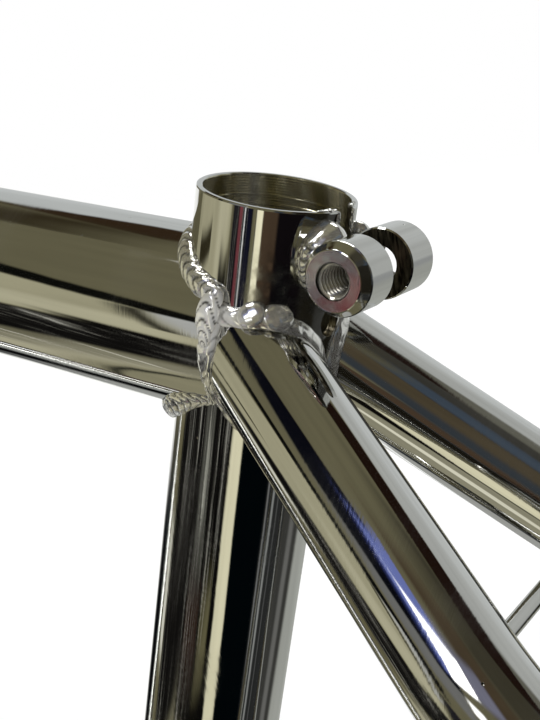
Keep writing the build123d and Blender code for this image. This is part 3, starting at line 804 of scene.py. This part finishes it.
crest = add_node(beads, "ShaderNodeMath", "MULTIPLY_ADD", {0: crest, 1: crest, 2: 0.012})
crest = add_node(beads, "ShaderNodeMath", "SQRT", {0: crest})
unshaded_crest_share = add_node(beads, "ShaderNodeMapRange", None,
                       {"Value": crest, "From Min": 0.11, "From Max": 0.42})
crest = add_node(beads, "ShaderNodeMath", "SUBTRACT", {0: crest, 1: 0.6})
lift = add_node(beads, "ShaderNodeMath", "MULTIPLY", {0: crest, 1: given["Ripple Height"]})
lift = add_node(beads, "ShaderNodeMath", "MULTIPLY", {0: lift, 1: stored["ripple_share"]})
swell = add_node(beads, "ShaderNodeMath", "MULTIPLY", {0: wander, 1: stored["half_width"]})
lift = add_node(beads, "ShaderNodeMath", "MULTIPLY_ADD", {0: swell, 1: 0.35, 2: lift})
away = add_node(beads, "ShaderNodeVectorMath", "NORMALIZE", {0: offset})
lifted = add_node(beads, "ShaderNodeVectorMath", "SCALE", {0: away, "Scale": lift})
height = add_node(beads, "ShaderNodeVectorMath", "DOT_PRODUCT", {0: offset, 1: stored["outward"]})
squash = add_node(beads, "ShaderNodeMath", "SUBTRACT", {0: given["Flatness"], 1: 1.0})
squash = add_node(beads, "ShaderNodeMath", "MULTIPLY", {0: squash, 1: height.outputs["Value"]})
squashed = add_node(beads, "ShaderNodeVectorMath", "SCALE", {0: stored["outward"], "Scale": squash})
push = add_node(beads, "ShaderNodeVectorMath", "ADD", {0: lifted, 1: squashed})
# The 'crest' attribute is one on the crests and falls in the creases, where the weld's finish paints shade.
unshaded_share = add_node(beads, "ShaderNodeMath", "SUBTRACT", {0: unshaded_crest_share, 1: 1.0})
unshaded_share = add_node(beads, "ShaderNodeMath", "MULTIPLY_ADD", {0: unshaded_share, 1: stored["ripple_share"], 2: 1.0})
toned = add_node(beads, "GeometryNodeStoreNamedAttribute", {"data_type": "FLOAT", "domain": "POINT"},
                 {"Geometry": swept, "Name": "crest", "Value": unshaded_share})
rippled = add_node(beads, "GeometryNodeSetPosition", None, {"Geometry": toned, "Offset": push})
end_rule(beads, given, rippled)


def lay_bead(name, points, outwards, half_widths, closed=True, ripple_share=None, **sizes):
    """A rippled bead along a seam, as a plain mesh."""
    mesh = bpy.data.meshes.new(name)
    count = len(points)
    edges = [(k, k + 1) for k in range(count - 1)] + ([(count - 1, 0)] if closed else [])
    mesh.from_pydata([p * MM for p in points], edges, [])
    for label, kind, key, values in (
            ("outward", "FLOAT_VECTOR", "vector", [part for way in outwards for part in way]),
            ("half_width", "FLOAT", "value", [width * MM for width in half_widths]),
            ("ripple_share", "FLOAT", "value", ripple_share or [1.0] * count)):
        mesh.attributes.new(label, kind, "POINT").data.foreach_set(key, values)
    bead = new_piece(name, mesh)
    follow_rule(bead, beads, weld, sizes)
    return bead


def corner_directions(points, branch, main):
    """The way out of the corner between a branch and its main tube, at each point of the seam."""
    ways = []
    for p in points:
        both = Vector((0, 0, 0))
        for start, along, _ in (branch, main):
            away = (p - start) - along * (p - start).dot(along)
            both += away.normalized()
        ways.append(both.normalized())
    return ways


def bead_round(node, branch, mains, at_most, half_width, seed, thin=None, sink=0.25, calm=None, **sizes):
    """A bead round the end of a branch (start, way, radius), thin or calm where a rule says so."""
    start, way, radius = branch
    corner = mitre(ring_at(start, way, radius, 120), -way, mains, at_most)
    ways = corner_directions(corner, branch, mains[0])
    widths = [half_width * (thin(p) if thin else 1.0) for p in corner]
    middles = [p + w * (width * sink) for p, w, width in zip(corner, ways, widths)]
    shares = [calm(p) for p in corner] if calm else None
    bead = lay_bead(node + "_rippled", middles, ways, widths, True, shares, Seed=seed, **sizes)
    fit(bead, "weld", node)


def ramp(value, start, length):
    """Zero up to a start, then rising to one over a length."""
    return min(1.0, max(0.0, (value - start) / length))


def behind_stays(point):
    """The top tube's bead runs out under the stays' own beads, and comes back below them."""
    depth = (COLLAR_TOP - point).dot(ST_UP)
    hidden = min(ramp(depth, 20.0, 6.0), ramp(-depth, -39.0, 4.0))
    return 1.0 + 0.12 * ramp(depth, 36.0, 5.0) - 0.8 * hidden


def down_the_front(point):
    """A stay's bead runs out along its front, towards the bottom."""
    depth = (COLLAR_TOP - point).dot(ST_UP)
    return 1.0 - 0.72 * ramp(point.dot(ST_FORWARD), -6.0, 5.0) * ramp(depth, 25.0, 14.0)


def run_together(point):
    """Round a stay the pools ran together and froze nearly smooth, most of all behind the tube."""
    return 0.3 + 0.3 * ramp(point.dot(ST_FORWARD), -14.0, 5.0)


def end_buttons(side, hand):
    """The last two pools on top of each stay, which froze as smooth round buttons."""
    for which, at, over, half in (("top", (-86.9, 13.9, 232.8), (-0.324, 0.831, 0.454), 2.3),
                                  ("back", (-90.4, 11.4, 231.6), (-0.72, 0.55, 0.42), 2.5)):
        middle = Vector((at[0], at[1] * side, at[2]))
        over = Vector((over[0], over[1] * side, over[2])).normalized()
        run = Vector((-0.62, -0.55 * side, 0.2)).normalized()
        run = (run - over * run.dot(over)).normalized()
        turns = [k / 6 * pi for k in range(7)]
        points = [middle + over * 0.4 - run * (cos(turn) * half * 1.1) for turn in turns]
        widths = [0.3 + (half - 0.3) * sin(turn) for turn in turns]
        button = lay_bead("stay_" + which + "_button_" + hand, points, [over] * 7, widths, False, [0.1] * 7,
                          Flatness=0.3, Unevenness=0.1, Seed=15)
        fit(button, "weld")


# The five main beads: the joint, the way out of it along the branch and the branch's
# radius, the bar it meets, how far out the seam's ring starts and how far it may
# slide back, the bead's half width, and what thins it.
main_beads = (
    ("weld_top_tube_seat_tube", TT_REAR, TT_ALONG, TT_RADIUS, SEAT_TUBE_BAR, 60.0, 60.0, 2.15, behind_stays),
    ("weld_top_tube_head_tube", TT_FRONT, -TT_ALONG, TT_RADIUS, HT_BAR, 60.0, 60.0, 2.3, None),
    ("weld_down_tube_head_tube", DT_FRONT, -DT_ALONG, DT_RADIUS, HT_BAR, 60.0, 60.0, 2.3, None),
    ("weld_down_tube_shell", CENTRE, DT_ALONG, DT_RADIUS, SHELL_BAR, 90.0, 80.0, 2.4, None),
    ("weld_seat_tube_shell", CENTRE, ST_UP, ST_RADIUS, SHELL_BAR, 90.0, 80.0, 2.4, None),
)
for seed, (node, joint, way, radius, main, out, at_most, half_width, thin) in enumerate(main_beads, 1):
    bead_round(node, (joint + way * out, way, radius), [main], at_most, half_width, seed, thin)

for side, hand in ((1, "left"), (-1, "right")):
    at_seat_tube = stay_place(side, 0.0)
    seat_way = (stay_place(side, BEND_AT) - at_seat_tube).normalized()
    bead_round("weld_seat_stay_" + hand, (stay_place(side, STAY_START), seat_way, STAY_RADIUS),
               [SEAT_TUBE_BAR, TT_BAR], 26.0, 1.9, 6, down_the_front, 0.15, run_together,
               Ripple_Pitch=0.0027, Bow=0.8)
    at_shell = chain_stay_place(side, CHAIN_STAY_LENGTH)
    chain_way = (chain_stay_place(side, TIP_FROM_AXLE) - at_shell).normalized()
    bead_round("weld_chain_stay_" + hand, (chain_stay_place(side, CHAIN_STAY_START), chain_way, STAY_RADIUS),
               [SHELL_BAR], 60.0, 2.0, 7)
    bead_round("weld_seat_stay_bridge_" + hand, (STAY_NODE + STAY_ALONG * ROD_AT, LEFT * -side, ROD_RADIUS),
               [(at_seat_tube, seat_way, STAY_RADIUS)], 40.0, 1.7, 8,
               Ripple_Pitch=0.0013, Ripple_Height=0.00015)
    bead_round("weld_chain_stay_bridge_" + hand, (AXLE + TO_SHELL * BRIDGE_AT, LEFT * -side, BRIDGE_RADIUS),
               [(at_shell, chain_way, STAY_RADIUS)], 60.0, 1.8, 9,
               Ripple_Pitch=0.0014, Ripple_Height=0.0002)
    end_buttons(side, hand)


def boss_seam(side, clear, reach, start):
    """The groove between a boss and the collar: in along the top, round the front, back below."""
    boss_r, collar_r = BOSS_RADIUS + clear, ST_RADIUS + clear
    widest = sqrt(collar_r ** 2 - (BOSS_SETBACK - boss_r) ** 2)
    top = []
    for k in range(33):
        y = start + (min(widest, reach) - start) * sin(k / 32 * pi / 2)
        from_boss = BOSS_SETBACK - sqrt(collar_r ** 2 - y ** 2)
        up = sqrt(max(boss_r ** 2 - from_boss ** 2, 0.0))
        top.append((from_boss, y, up))
    spots = top + [(f, y, -u) for f, y, u in top[::-1][1:]]
    return [BOSS + ST_FORWARD * f + LEFT * (side * y) + ST_UP * u for f, y, u in spots]


# Each boss's bead starts as a broad smooth fill at the top and ends in crescents.
for side, hand, start, fill in ((1, "left", 2.9, 1.0), (-1, "right", 5.2, 0.1)):
    points = boss_seam(side, 1.0, 12.0, start)
    ways = corner_directions(points, (BOSS, LEFT, BOSS_RADIUS), SEAT_TUBE_BAR)
    widths, shares = [], []
    for k in range(len(points)):
        gone = k / (len(points) - 1)
        from_end = min(1.0, gone * 9, (1 - gone) * 9)
        taper = 0.04 + 0.96 * sqrt(1 - (1 - from_end) ** 2)
        widths.append(taper * (2.0 + fill * 1.5 * max(0.0, 1 - gone / 0.5)))
        shares.append(min(1.0, max(0.12, (gone - 0.25) / 0.12)))
    bead = lay_bead("weld_clamp_boss_" + hand + "_rippled", points, ways, widths, False, shares,
                    Ripple_Pitch=0.0016, Ripple_Height=0.00024, Bow=0.9, Flatness=0.72,
                    Unevenness=0.12, Seed=11 + side)
    fit(bead, "weld", "weld_clamp_boss_" + hand)

# The saw threw up a torn burr along the slot's edges and over the rim beside it,
# which was never filed off.
for side, hand in ((1, "left"), (-1, "right")):
    edge_back = sqrt((ST_RADIUS - 0.1) ** 2 - SLOT_HALF ** 2)
    points = [COLLAR_TOP - ST_UP * depth - ST_FORWARD * edge_back + LEFT * (side * (SLOT_HALF + 0.05))
              for depth in (0.1, 0.8, 1.6, 2.4, 3.2, 4.0)]
    ways = [(LEFT * side - ST_FORWARD).normalized()] * len(points)
    burr = lay_bead("collar_slot_burr_" + hand, points, ways, [0.24, 0.5, 0.34, 0.62, 0.5, 0.3], False,
                    Ripple_Pitch=0.0005, Ripple_Height=0.0002, Unevenness=2.4, Facets=10,
                    Steps_per_Ripple=4, Seed=30 + side)
    fit(burr, "weld")
    on_rim = ST_RADIUS - 0.75
    points = [COLLAR_TOP - ST_FORWARD * on_rim * cos(a) + LEFT * (side * on_rim * sin(a))
              for a in [0.19 + 0.05 * k for k in range(7)]]
    widths = [0.5, 0.42, 0.55, 0.36, 0.4, 0.26, 0.14]
    burr = lay_bead("collar_rim_burr_" + hand, points, [ST_UP] * 7, widths, False,
                    Ripple_Pitch=0.0007, Ripple_Height=0.00025, Unevenness=2.2, Facets=10,
                    Steps_per_Ripple=4, Flatness=0.6, Seed=34 + side)
    fit(burr, "weld")


def tip_bead(node, tip, way, side):
    """A bead round the stay's tip, and back along its sides, on each face of the dropout plate."""
    across = way.cross(LEFT).normalized()
    half_turn, half_height, past_tip, along_sides = 0.72 * pi, 7.4, 7.6, 26.0
    for face in (-1, 1):
        points, ways = [], []
        for k in range(41):
            angle = half_turn * (k / 20 - 1)
            length = past_tip if cos(angle) >= 0 else along_sides
            reach = way * (cos(angle) * length - 0.6) + across * (sin(angle) * half_height)
            points.append(Vector((tip.x, side * PLATE_Y + face * (PLATE_HALF + 0.3), tip.z)) + reach)
            ways.append((reach.normalized() + LEFT * face * 1.2).normalized())
        bead = lay_bead(node + ("_inner" if face * side < 0 else "_outer"), points, ways,
                        [1.7] * len(points), False, Seed=20 + face, Facets=16, Steps_per_Ripple=6)
        if face < 0:
            fit(bead, "weld", node)
        else:
            fit(bead, "weld")


for side, hand in ((1, "left"), (-1, "right")):
    tip_bead("weld_seat_stay_tip_" + hand, stay_place(side, SEAT_STAY_TIP), STAY_ALONG, side)
    tip_bead("weld_chain_stay_tip_" + hand, chain_stay_place(side, TIP_FROM_AXLE), -TO_SHELL, side)

# The studio: a plain pale floor under the frame and even soft light. Chrome
# has no look of its own, so its reflections see a workroom: a dull ceiling,
# pale walls, dark benches and doorways, strip lamps and a lit cloth.
FLOOR_Z = -0.0576
FLOOR_HALF = 6.0
floor_corners = [(FLOOR_HALF * x, FLOOR_HALF * y, FLOOR_Z) for x, y in ((-1, -1), (1, -1), (1, 1), (-1, 1))]
floor_mesh = bpy.data.meshes.new("floor")
floor_mesh.from_pydata(floor_corners, [], [(0, 1, 2, 3)])
floor = new_piece("floor", floor_mesh)
pale, tree = new_finish("pale_paper_floor")
surface = add_node(tree, "ShaderNodeBsdfPrincipled", None,
                   {"Base Color": linear("#FFFFFF"), "Roughness": 0.9, "Specular IOR Level": 0.0,
                    "Emission Color": (1, 1, 1, 1), "Emission Strength": 0.06})
add_node(tree, "ShaderNodeOutputMaterial", None, {"Surface": surface})
floor_mesh.materials.append(pale)
floor.visible_glossy = False

room = bpy.data.worlds.new("studio")
bpy.context.scene.world = room
room.use_nodes = True
tree = room.node_tree
tree.nodes.clear()
place = add_node(tree, "ShaderNodeTexCoord").outputs["Generated"]
axes = add_node(tree, "ShaderNodeSeparateXYZ", None, {"Vector": place}).outputs
around = add_node(tree, "ShaderNodeMath", "ARCTAN2", {0: axes["Y"], 1: axes["X"]})
around = add_node(tree, "ShaderNodeMath", "MULTIPLY_ADD", {0: around, 1: 180 / pi, 2: 360.0})
around = add_node(tree, "ShaderNodeMath", "MODULO", {0: around, 1: 360.0})
above = add_node(tree, "ShaderNodeMath", "ARCSINE", {0: axes["Z"]})
above = add_node(tree, "ShaderNodeMath", "MULTIPLY", {0: above, 1: 180 / pi})


def within(tree, value, low, high, soft):
    """One between two limits and zero outside them, softened at each."""
    rise = add_node(tree, "ShaderNodeMapRange", {"interpolation_type": "SMOOTHSTEP"},
                    {"Value": value, "From Min": low - soft, "From Max": low + soft})
    fall = add_node(tree, "ShaderNodeMapRange", {"interpolation_type": "SMOOTHSTEP"},
                    {"Value": value, "From Min": high - soft, "From Max": high + soft,
                     "To Min": 1.0, "To Max": 0.0})
    return add_node(tree, "ShaderNodeMath", "MULTIPLY", {0: rise, 1: fall})


# The room, as panels by bearing and height in degrees, the bearing counted from
# the frame's front towards its left: bearings from and to, heights from and to,
# lean in degrees up per degree round, soft edge, colour and strength. A later
# panel covers an earlier one.
panels = [
    ("brown ceiling beyond the lamp", 112, 152, 36, 66, 0.0, 5, "#43392B", 1.0),
    ("dark ceiling at the back", 150, 206, 34, 66, 0.0, 7, "#38352A", 1.0),
    ("dark hall behind the camera", 150, 214, -46, 30, 0.0, 5, "#1D1B15", 1.0),
    ("pale wall behind the camera", 204, 302, -12, 46, 0.1, 2, "#A4A6A4", 1.0),
    ("lighter part of that wall", 250, 302, -14, 26, 0.0, 7, "#B7BABA", 1.0),
    ("grey things on that wall", 196, 221, 30, 42, 0.2, 3, "#5C5B52", 1.0),
    ("dark brown shelf at the back", 197, 240, 41.5, 60, 0.2, 1.2, "#1A0F0A", 1.0),
    ("window wall to the right", 299, 322, -6, 47, 0.0, 1.5, "#B2B5B5", 1.0),
    ("bright sill", 308, 340, -5, 9, 0.15, 2, "#E6E6E4", 1.0),
    ("brown rail over the window", 307, 325, 44, 58, 0.2, 1.5, "#2E2216", 1.0),
    ("olive shelf over the window", 323, 361, 51, 62, 0.1, 6, "#2F291B", 1.0),
    ("cream wall ahead", -1, 57, -6, 22, 0.0, 1.2, "#9C987F", 1.0),
    ("cream wall ahead, wrapped", 345, 361, -6, 18, 0.0, 1.2, "#918E76", 1.0),
    ("bright foot of the wall", 37, 54, -4, 7, 0.0, 3, "#AFAB92", 1.0),
    ("dark picture edge on the wall", 4, 26, 1, 3, -0.05, 0.6, "#2B2719", 1.0),
    ("black rail over the cream wall", 38, 66, 18.5, 26, -0.65, 1.2, "#0B0B08", 1.0),
    ("dark jamb of the wall", 52.6, 54.4, 2, 17, 0.0, 0.7, "#2A2820", 1.0),
    ("pale jamb of the wall", 55, 58, 2, 17, 0.0, 0.8, "#A9AAA8", 1.0),
    ("grey ceiling by the lamp", 60, 88, 19, 36, -0.3, 3, "#6A6A69", 1.0),
    ("black lamp housing", 58, 88, 32, 58, -0.15, 1.5, "#07080F", 1.0),
    ("blue side of the lamp", 77, 92, 35, 52, 0.25, 2, "#2A3260", 1.0),
    ("lavender glow beyond the lamp", 98, 126, 38, 54, 0.0, 3, "#6C6C7C", 1.0),
    ("blue rim of the lamp", 80, 99, 38.5, 55, 0.5, 1.2, "#6772AE", 1.0),
    ("white strip lamp", 84.5, 104, 36.5, 48.5, 0.2, 1.5, "#FFFFFF", 3.0),
    ("second lamp below", 89, 99, 24.5, 30, 0.0, 1.5, "#FFFFFF", 1.6),
    ("khaki floor ahead", -1, 95, -90, -42, 0.0, 3, "#8A8774", 1.0),
    ("sun on the floor", 58, 75, -62, -49, -0.6, 1.5, "#D8D5C2", 1.0),
    ("ground by the bench", -1, 62, -48, -24, 0.0, 2, "#85816A", 1.0),
    ("pale edge of the ground", -1, 38, -35, -29, 0.08, 1.5, "#A5A18A", 1.0),
    ("dark seam in the ground", -1, 42, -36.8, -35.9, 0.12, 0.5, "#23241E", 1.0),
    ("khaki boxes by the bench", -1, 12, -30, -6, 0.0, 2, "#5F5B45", 1.0),
    ("dark bench ahead", 9, 56, -25.5, -6, -0.03, 1.5, "#121110", 1.0),
    ("white mug by the bench", 1.5, 8, -18, -11.5, -0.2, 1.0, "#C9C8BC", 1.0),
    ("dark space under the bench", 45, 93, -38, -13, -0.42, 1.5, "#0B0A09", 1.0),
    ("grey cloths under the bench", 50, 64, -24, -14, -0.4, 1.5, "#55554F", 1.0),
    ("white cup under the bench", 56, 60.5, -21, -16.5, -0.4, 1.0, "#A9A99F", 1.0),
    ("brown box under the bench", 48, 67, -29, -24.5, -0.35, 1.2, "#33231C", 1.0),
    ("khaki sack under the bench", 70, 83, -36, -30.5, -0.3, 1.3, "#5F5B43", 1.0),
    ("dark tools on the bench", 60, 93, -16, 4, -0.32, 1.0, "#1D1C1F", 1.0),
    ("rose cloth on the bench", 69, 73, -15, 4, -0.3, 0.7, "#8A4A50", 1.0),
    ("steel rule on the bench", 75.5, 77.2, -17, 4, -0.3, 0.4, "#D3D6DA", 1.0),
    ("dark blue tin", 79, 86, -20, 2, -0.3, 0.8, "#14162A", 1.0),
    ("khaki box on the bench", 87, 91.2, -21, 2, -0.3, 0.7, "#7A765C", 1.0),
    ("brown box past the board", 100, 127, -32, 3, -0.3, 1.5, "#43362A", 1.0),
    ("dark doorway low down", 121, 170, -44, -20, -0.18, 2, "#0E0B0D", 1.0),
    ("upright cream board", 92.4, 100.6, -29, 1, -0.33, 0.8, "#E6E1C4", 1.1),
    ("grey blue doorway", 126, 152, -22, 24, 0.0, 2, "#30353A", 1.0),
    ("brown ledge by the doorway", 138, 158, 6, 30, 0.8, 3.5, "#463E2F", 1.0),
    ("slate corner past the doorway", 158, 180, 20, 34, 0.4, 2, "#38424E", 1.0),
    ("dark grey corner", 176, 198, 28, 41, 0.2, 3, "#34332F", 1.0),
    ("black curtain", 104, 160, -64, -33, -0.28, 2.0, "#020507", 1.0),
    ("cream board", 90, 106.5, -46.5, -28.5, -0.25, 1.2, "#D6D1B4", 1.0),
    ("grey blanket past the curtain", 158, 206, -62, -44, 0.0, 3, "#272828", 1.0),
    ("first fold in the blanket", 159.5, 162.5, -60, -44, 0.0, 0.9, "#6A6B6B", 1.0),
    ("second fold in the blanket", 171, 175, -60, -46, 0.0, 1.2, "#838584", 1.0),
    ("third fold in the blanket", 183, 185, -60, -46, 0.0, 0.8, "#4F5050", 1.0),
    ("low dark wall", 204, 250, -62, -12, 0.0, 3, "#383836", 1.0),
    ("grey door past the dark wall", 232, 254, -33, -8, 0.0, 3, "#8B8D8D", 1.0),
    ("light fold in it", 221, 233, -60, -42, 0.0, 3, "#646462", 1.0),
    ("low pale wall", 246, 302, -52, -10, 0.2, 4, "#989A95", 1.0),
    ("pale floor to the right", 300, 352, -60, -24, 0.0, 2, "#999A97", 1.0),
    ("white cloth to the right", 307, 340, -27, -8, 0.15, 1.5, "#F0F0EE", 1.1),
    ("shadow by the cloth", 331, 357, -27, -8, 0.2, 4, "#2B2D2E", 1.0),
    ("black leg", 338, 348, -42, -12, 0.0, 2, "#08090A", 1.0),
    ("grey apron", 347, 352, -40, -27, 0.0, 1.5, "#8B8D89", 1.0),
    ("skylight above and ahead", 18, 62, 67, 84, 0.0, 2, "#FFFFFF", 6.0),
    ("skylight behind the camera", 245, 308, 51, 65, 0.0, 2, "#FFFFFF", 5.0),
    ("white streak on the floor", 298, 345, -38, -35.7, -0.5, 0.7, "#F8FAFA", 1.0),
    ("dark corner of the floor", 342, 361, -64, -48, -0.4, 2, "#2E3032", 1.0),
]

# The bench ahead is cluttered: tall thin things, dark and bright, some 2 degrees
# wide. All of the room is a little brighter in some patches than in others.
across = add_node(tree, "ShaderNodeMath", "MULTIPLY", {0: around, 1: 0.5})
upright = add_node(tree, "ShaderNodeMath", "MULTIPLY", {0: above, 1: 0.06})
spread = add_node(tree, "ShaderNodeCombineXYZ", None, {"X": across, "Y": upright})
clutter = add_node(tree, "ShaderNodeTexNoise", {"noise_dimensions": "2D"},
                   {"Vector": spread, "Scale": 1.0, "Detail": 3.0, "Roughness": 0.7})
shades = add_node(tree, "ShaderNodeValToRGB", None, {"Fac": clutter})
for at, colour in ((0.3, "#050505"), (0.5, "#0E0D0C"), (0.57, "#2E2D2A"), (0.63, "#807E76"),
                   (0.72, "#E8E6DC")):
    shades.color_ramp.elements.new(at).color = linear(colour)
on_bench = add_node(tree, "ShaderNodeMath", "MULTIPLY",
                    {0: within(tree, around, 10, 91, 3), 1: within(tree, above, -33, -7, 2)})
on_bench = add_node(tree, "ShaderNodeMath", "MULTIPLY", {0: on_bench, 1: 0.42})
patchy = add_node(tree, "ShaderNodeTexNoise", None, {"Vector": place, "Scale": 7.0, "Detail": 2.0})
patchy = add_node(tree, "ShaderNodeMapRange", None,
                  {"Value": patchy, "From Min": 0.3, "From Max": 0.7, "To Min": 1.2, "To Max": 1.36})

# The room is drawn in thirds, from ahead to the left, from there to behind, and on
# round by the right. Each third holds the panels that reach into it.
reflected = None
for start, end in ((-1, 95), (95, 204), (204, 361)):
    seen = add_node(tree, "ShaderNodeRGB")
    seen.outputs[0].default_value = linear("#615D48")
    for label, low, high, bottom, top, lean, soft, colour, strength in panels:
        if high + 2 * soft < start or low - 2 * soft > end:
            continue
        level = (low + high) / 2 * lean
        tilt = add_node(tree, "ShaderNodeMath", "MULTIPLY_ADD", {0: around, 1: -lean, 2: level})
        height = add_node(tree, "ShaderNodeMath", "ADD", {0: above, 1: tilt})
        inside = add_node(tree, "ShaderNodeMath", "MULTIPLY",
                          {0: within(tree, around, low, high, soft * 1.3),
                           1: within(tree, height, bottom, top, soft)})
        lit = [c * strength for c in linear(colour)[:3]] + [1.0]
        mixed = add_node(tree, "ShaderNodeMix", {"data_type": "RGBA", "label": label},
                         {0: inside, 6: seen, 7: lit})
        seen = mixed.outputs[2]
    if reflected is None:
        mixed = add_node(tree, "ShaderNodeMix", {"data_type": "RGBA"}, {0: on_bench, 6: seen, 7: shades})
        reflected = add_node(tree, "ShaderNodeBackground", None,
                             {"Color": mixed.outputs[2], "Strength": patchy})
    else:
        third = add_node(tree, "ShaderNodeBackground", None, {"Color": seen, "Strength": patchy})
        past = add_node(tree, "ShaderNodeMath", "GREATER_THAN", {0: around, 1: start})
        reflected = add_node(tree, "ShaderNodeMixShader", None, {0: past, 1: reflected, 2: third})
even_light = add_node(tree, "ShaderNodeBackground", None, {"Color": (1, 1, 1, 1), "Strength": 1.0})
glossy = add_node(tree, "ShaderNodeLightPath").outputs["Is Glossy Ray"]
either = add_node(tree, "ShaderNodeMixShader", None, {0: glossy, 1: even_light, 2: reflected})
add_node(tree, "ShaderNodeOutputWorld", None, {"Surface": either})
bpy.context.scene.view_settings.view_transform = "Standard"
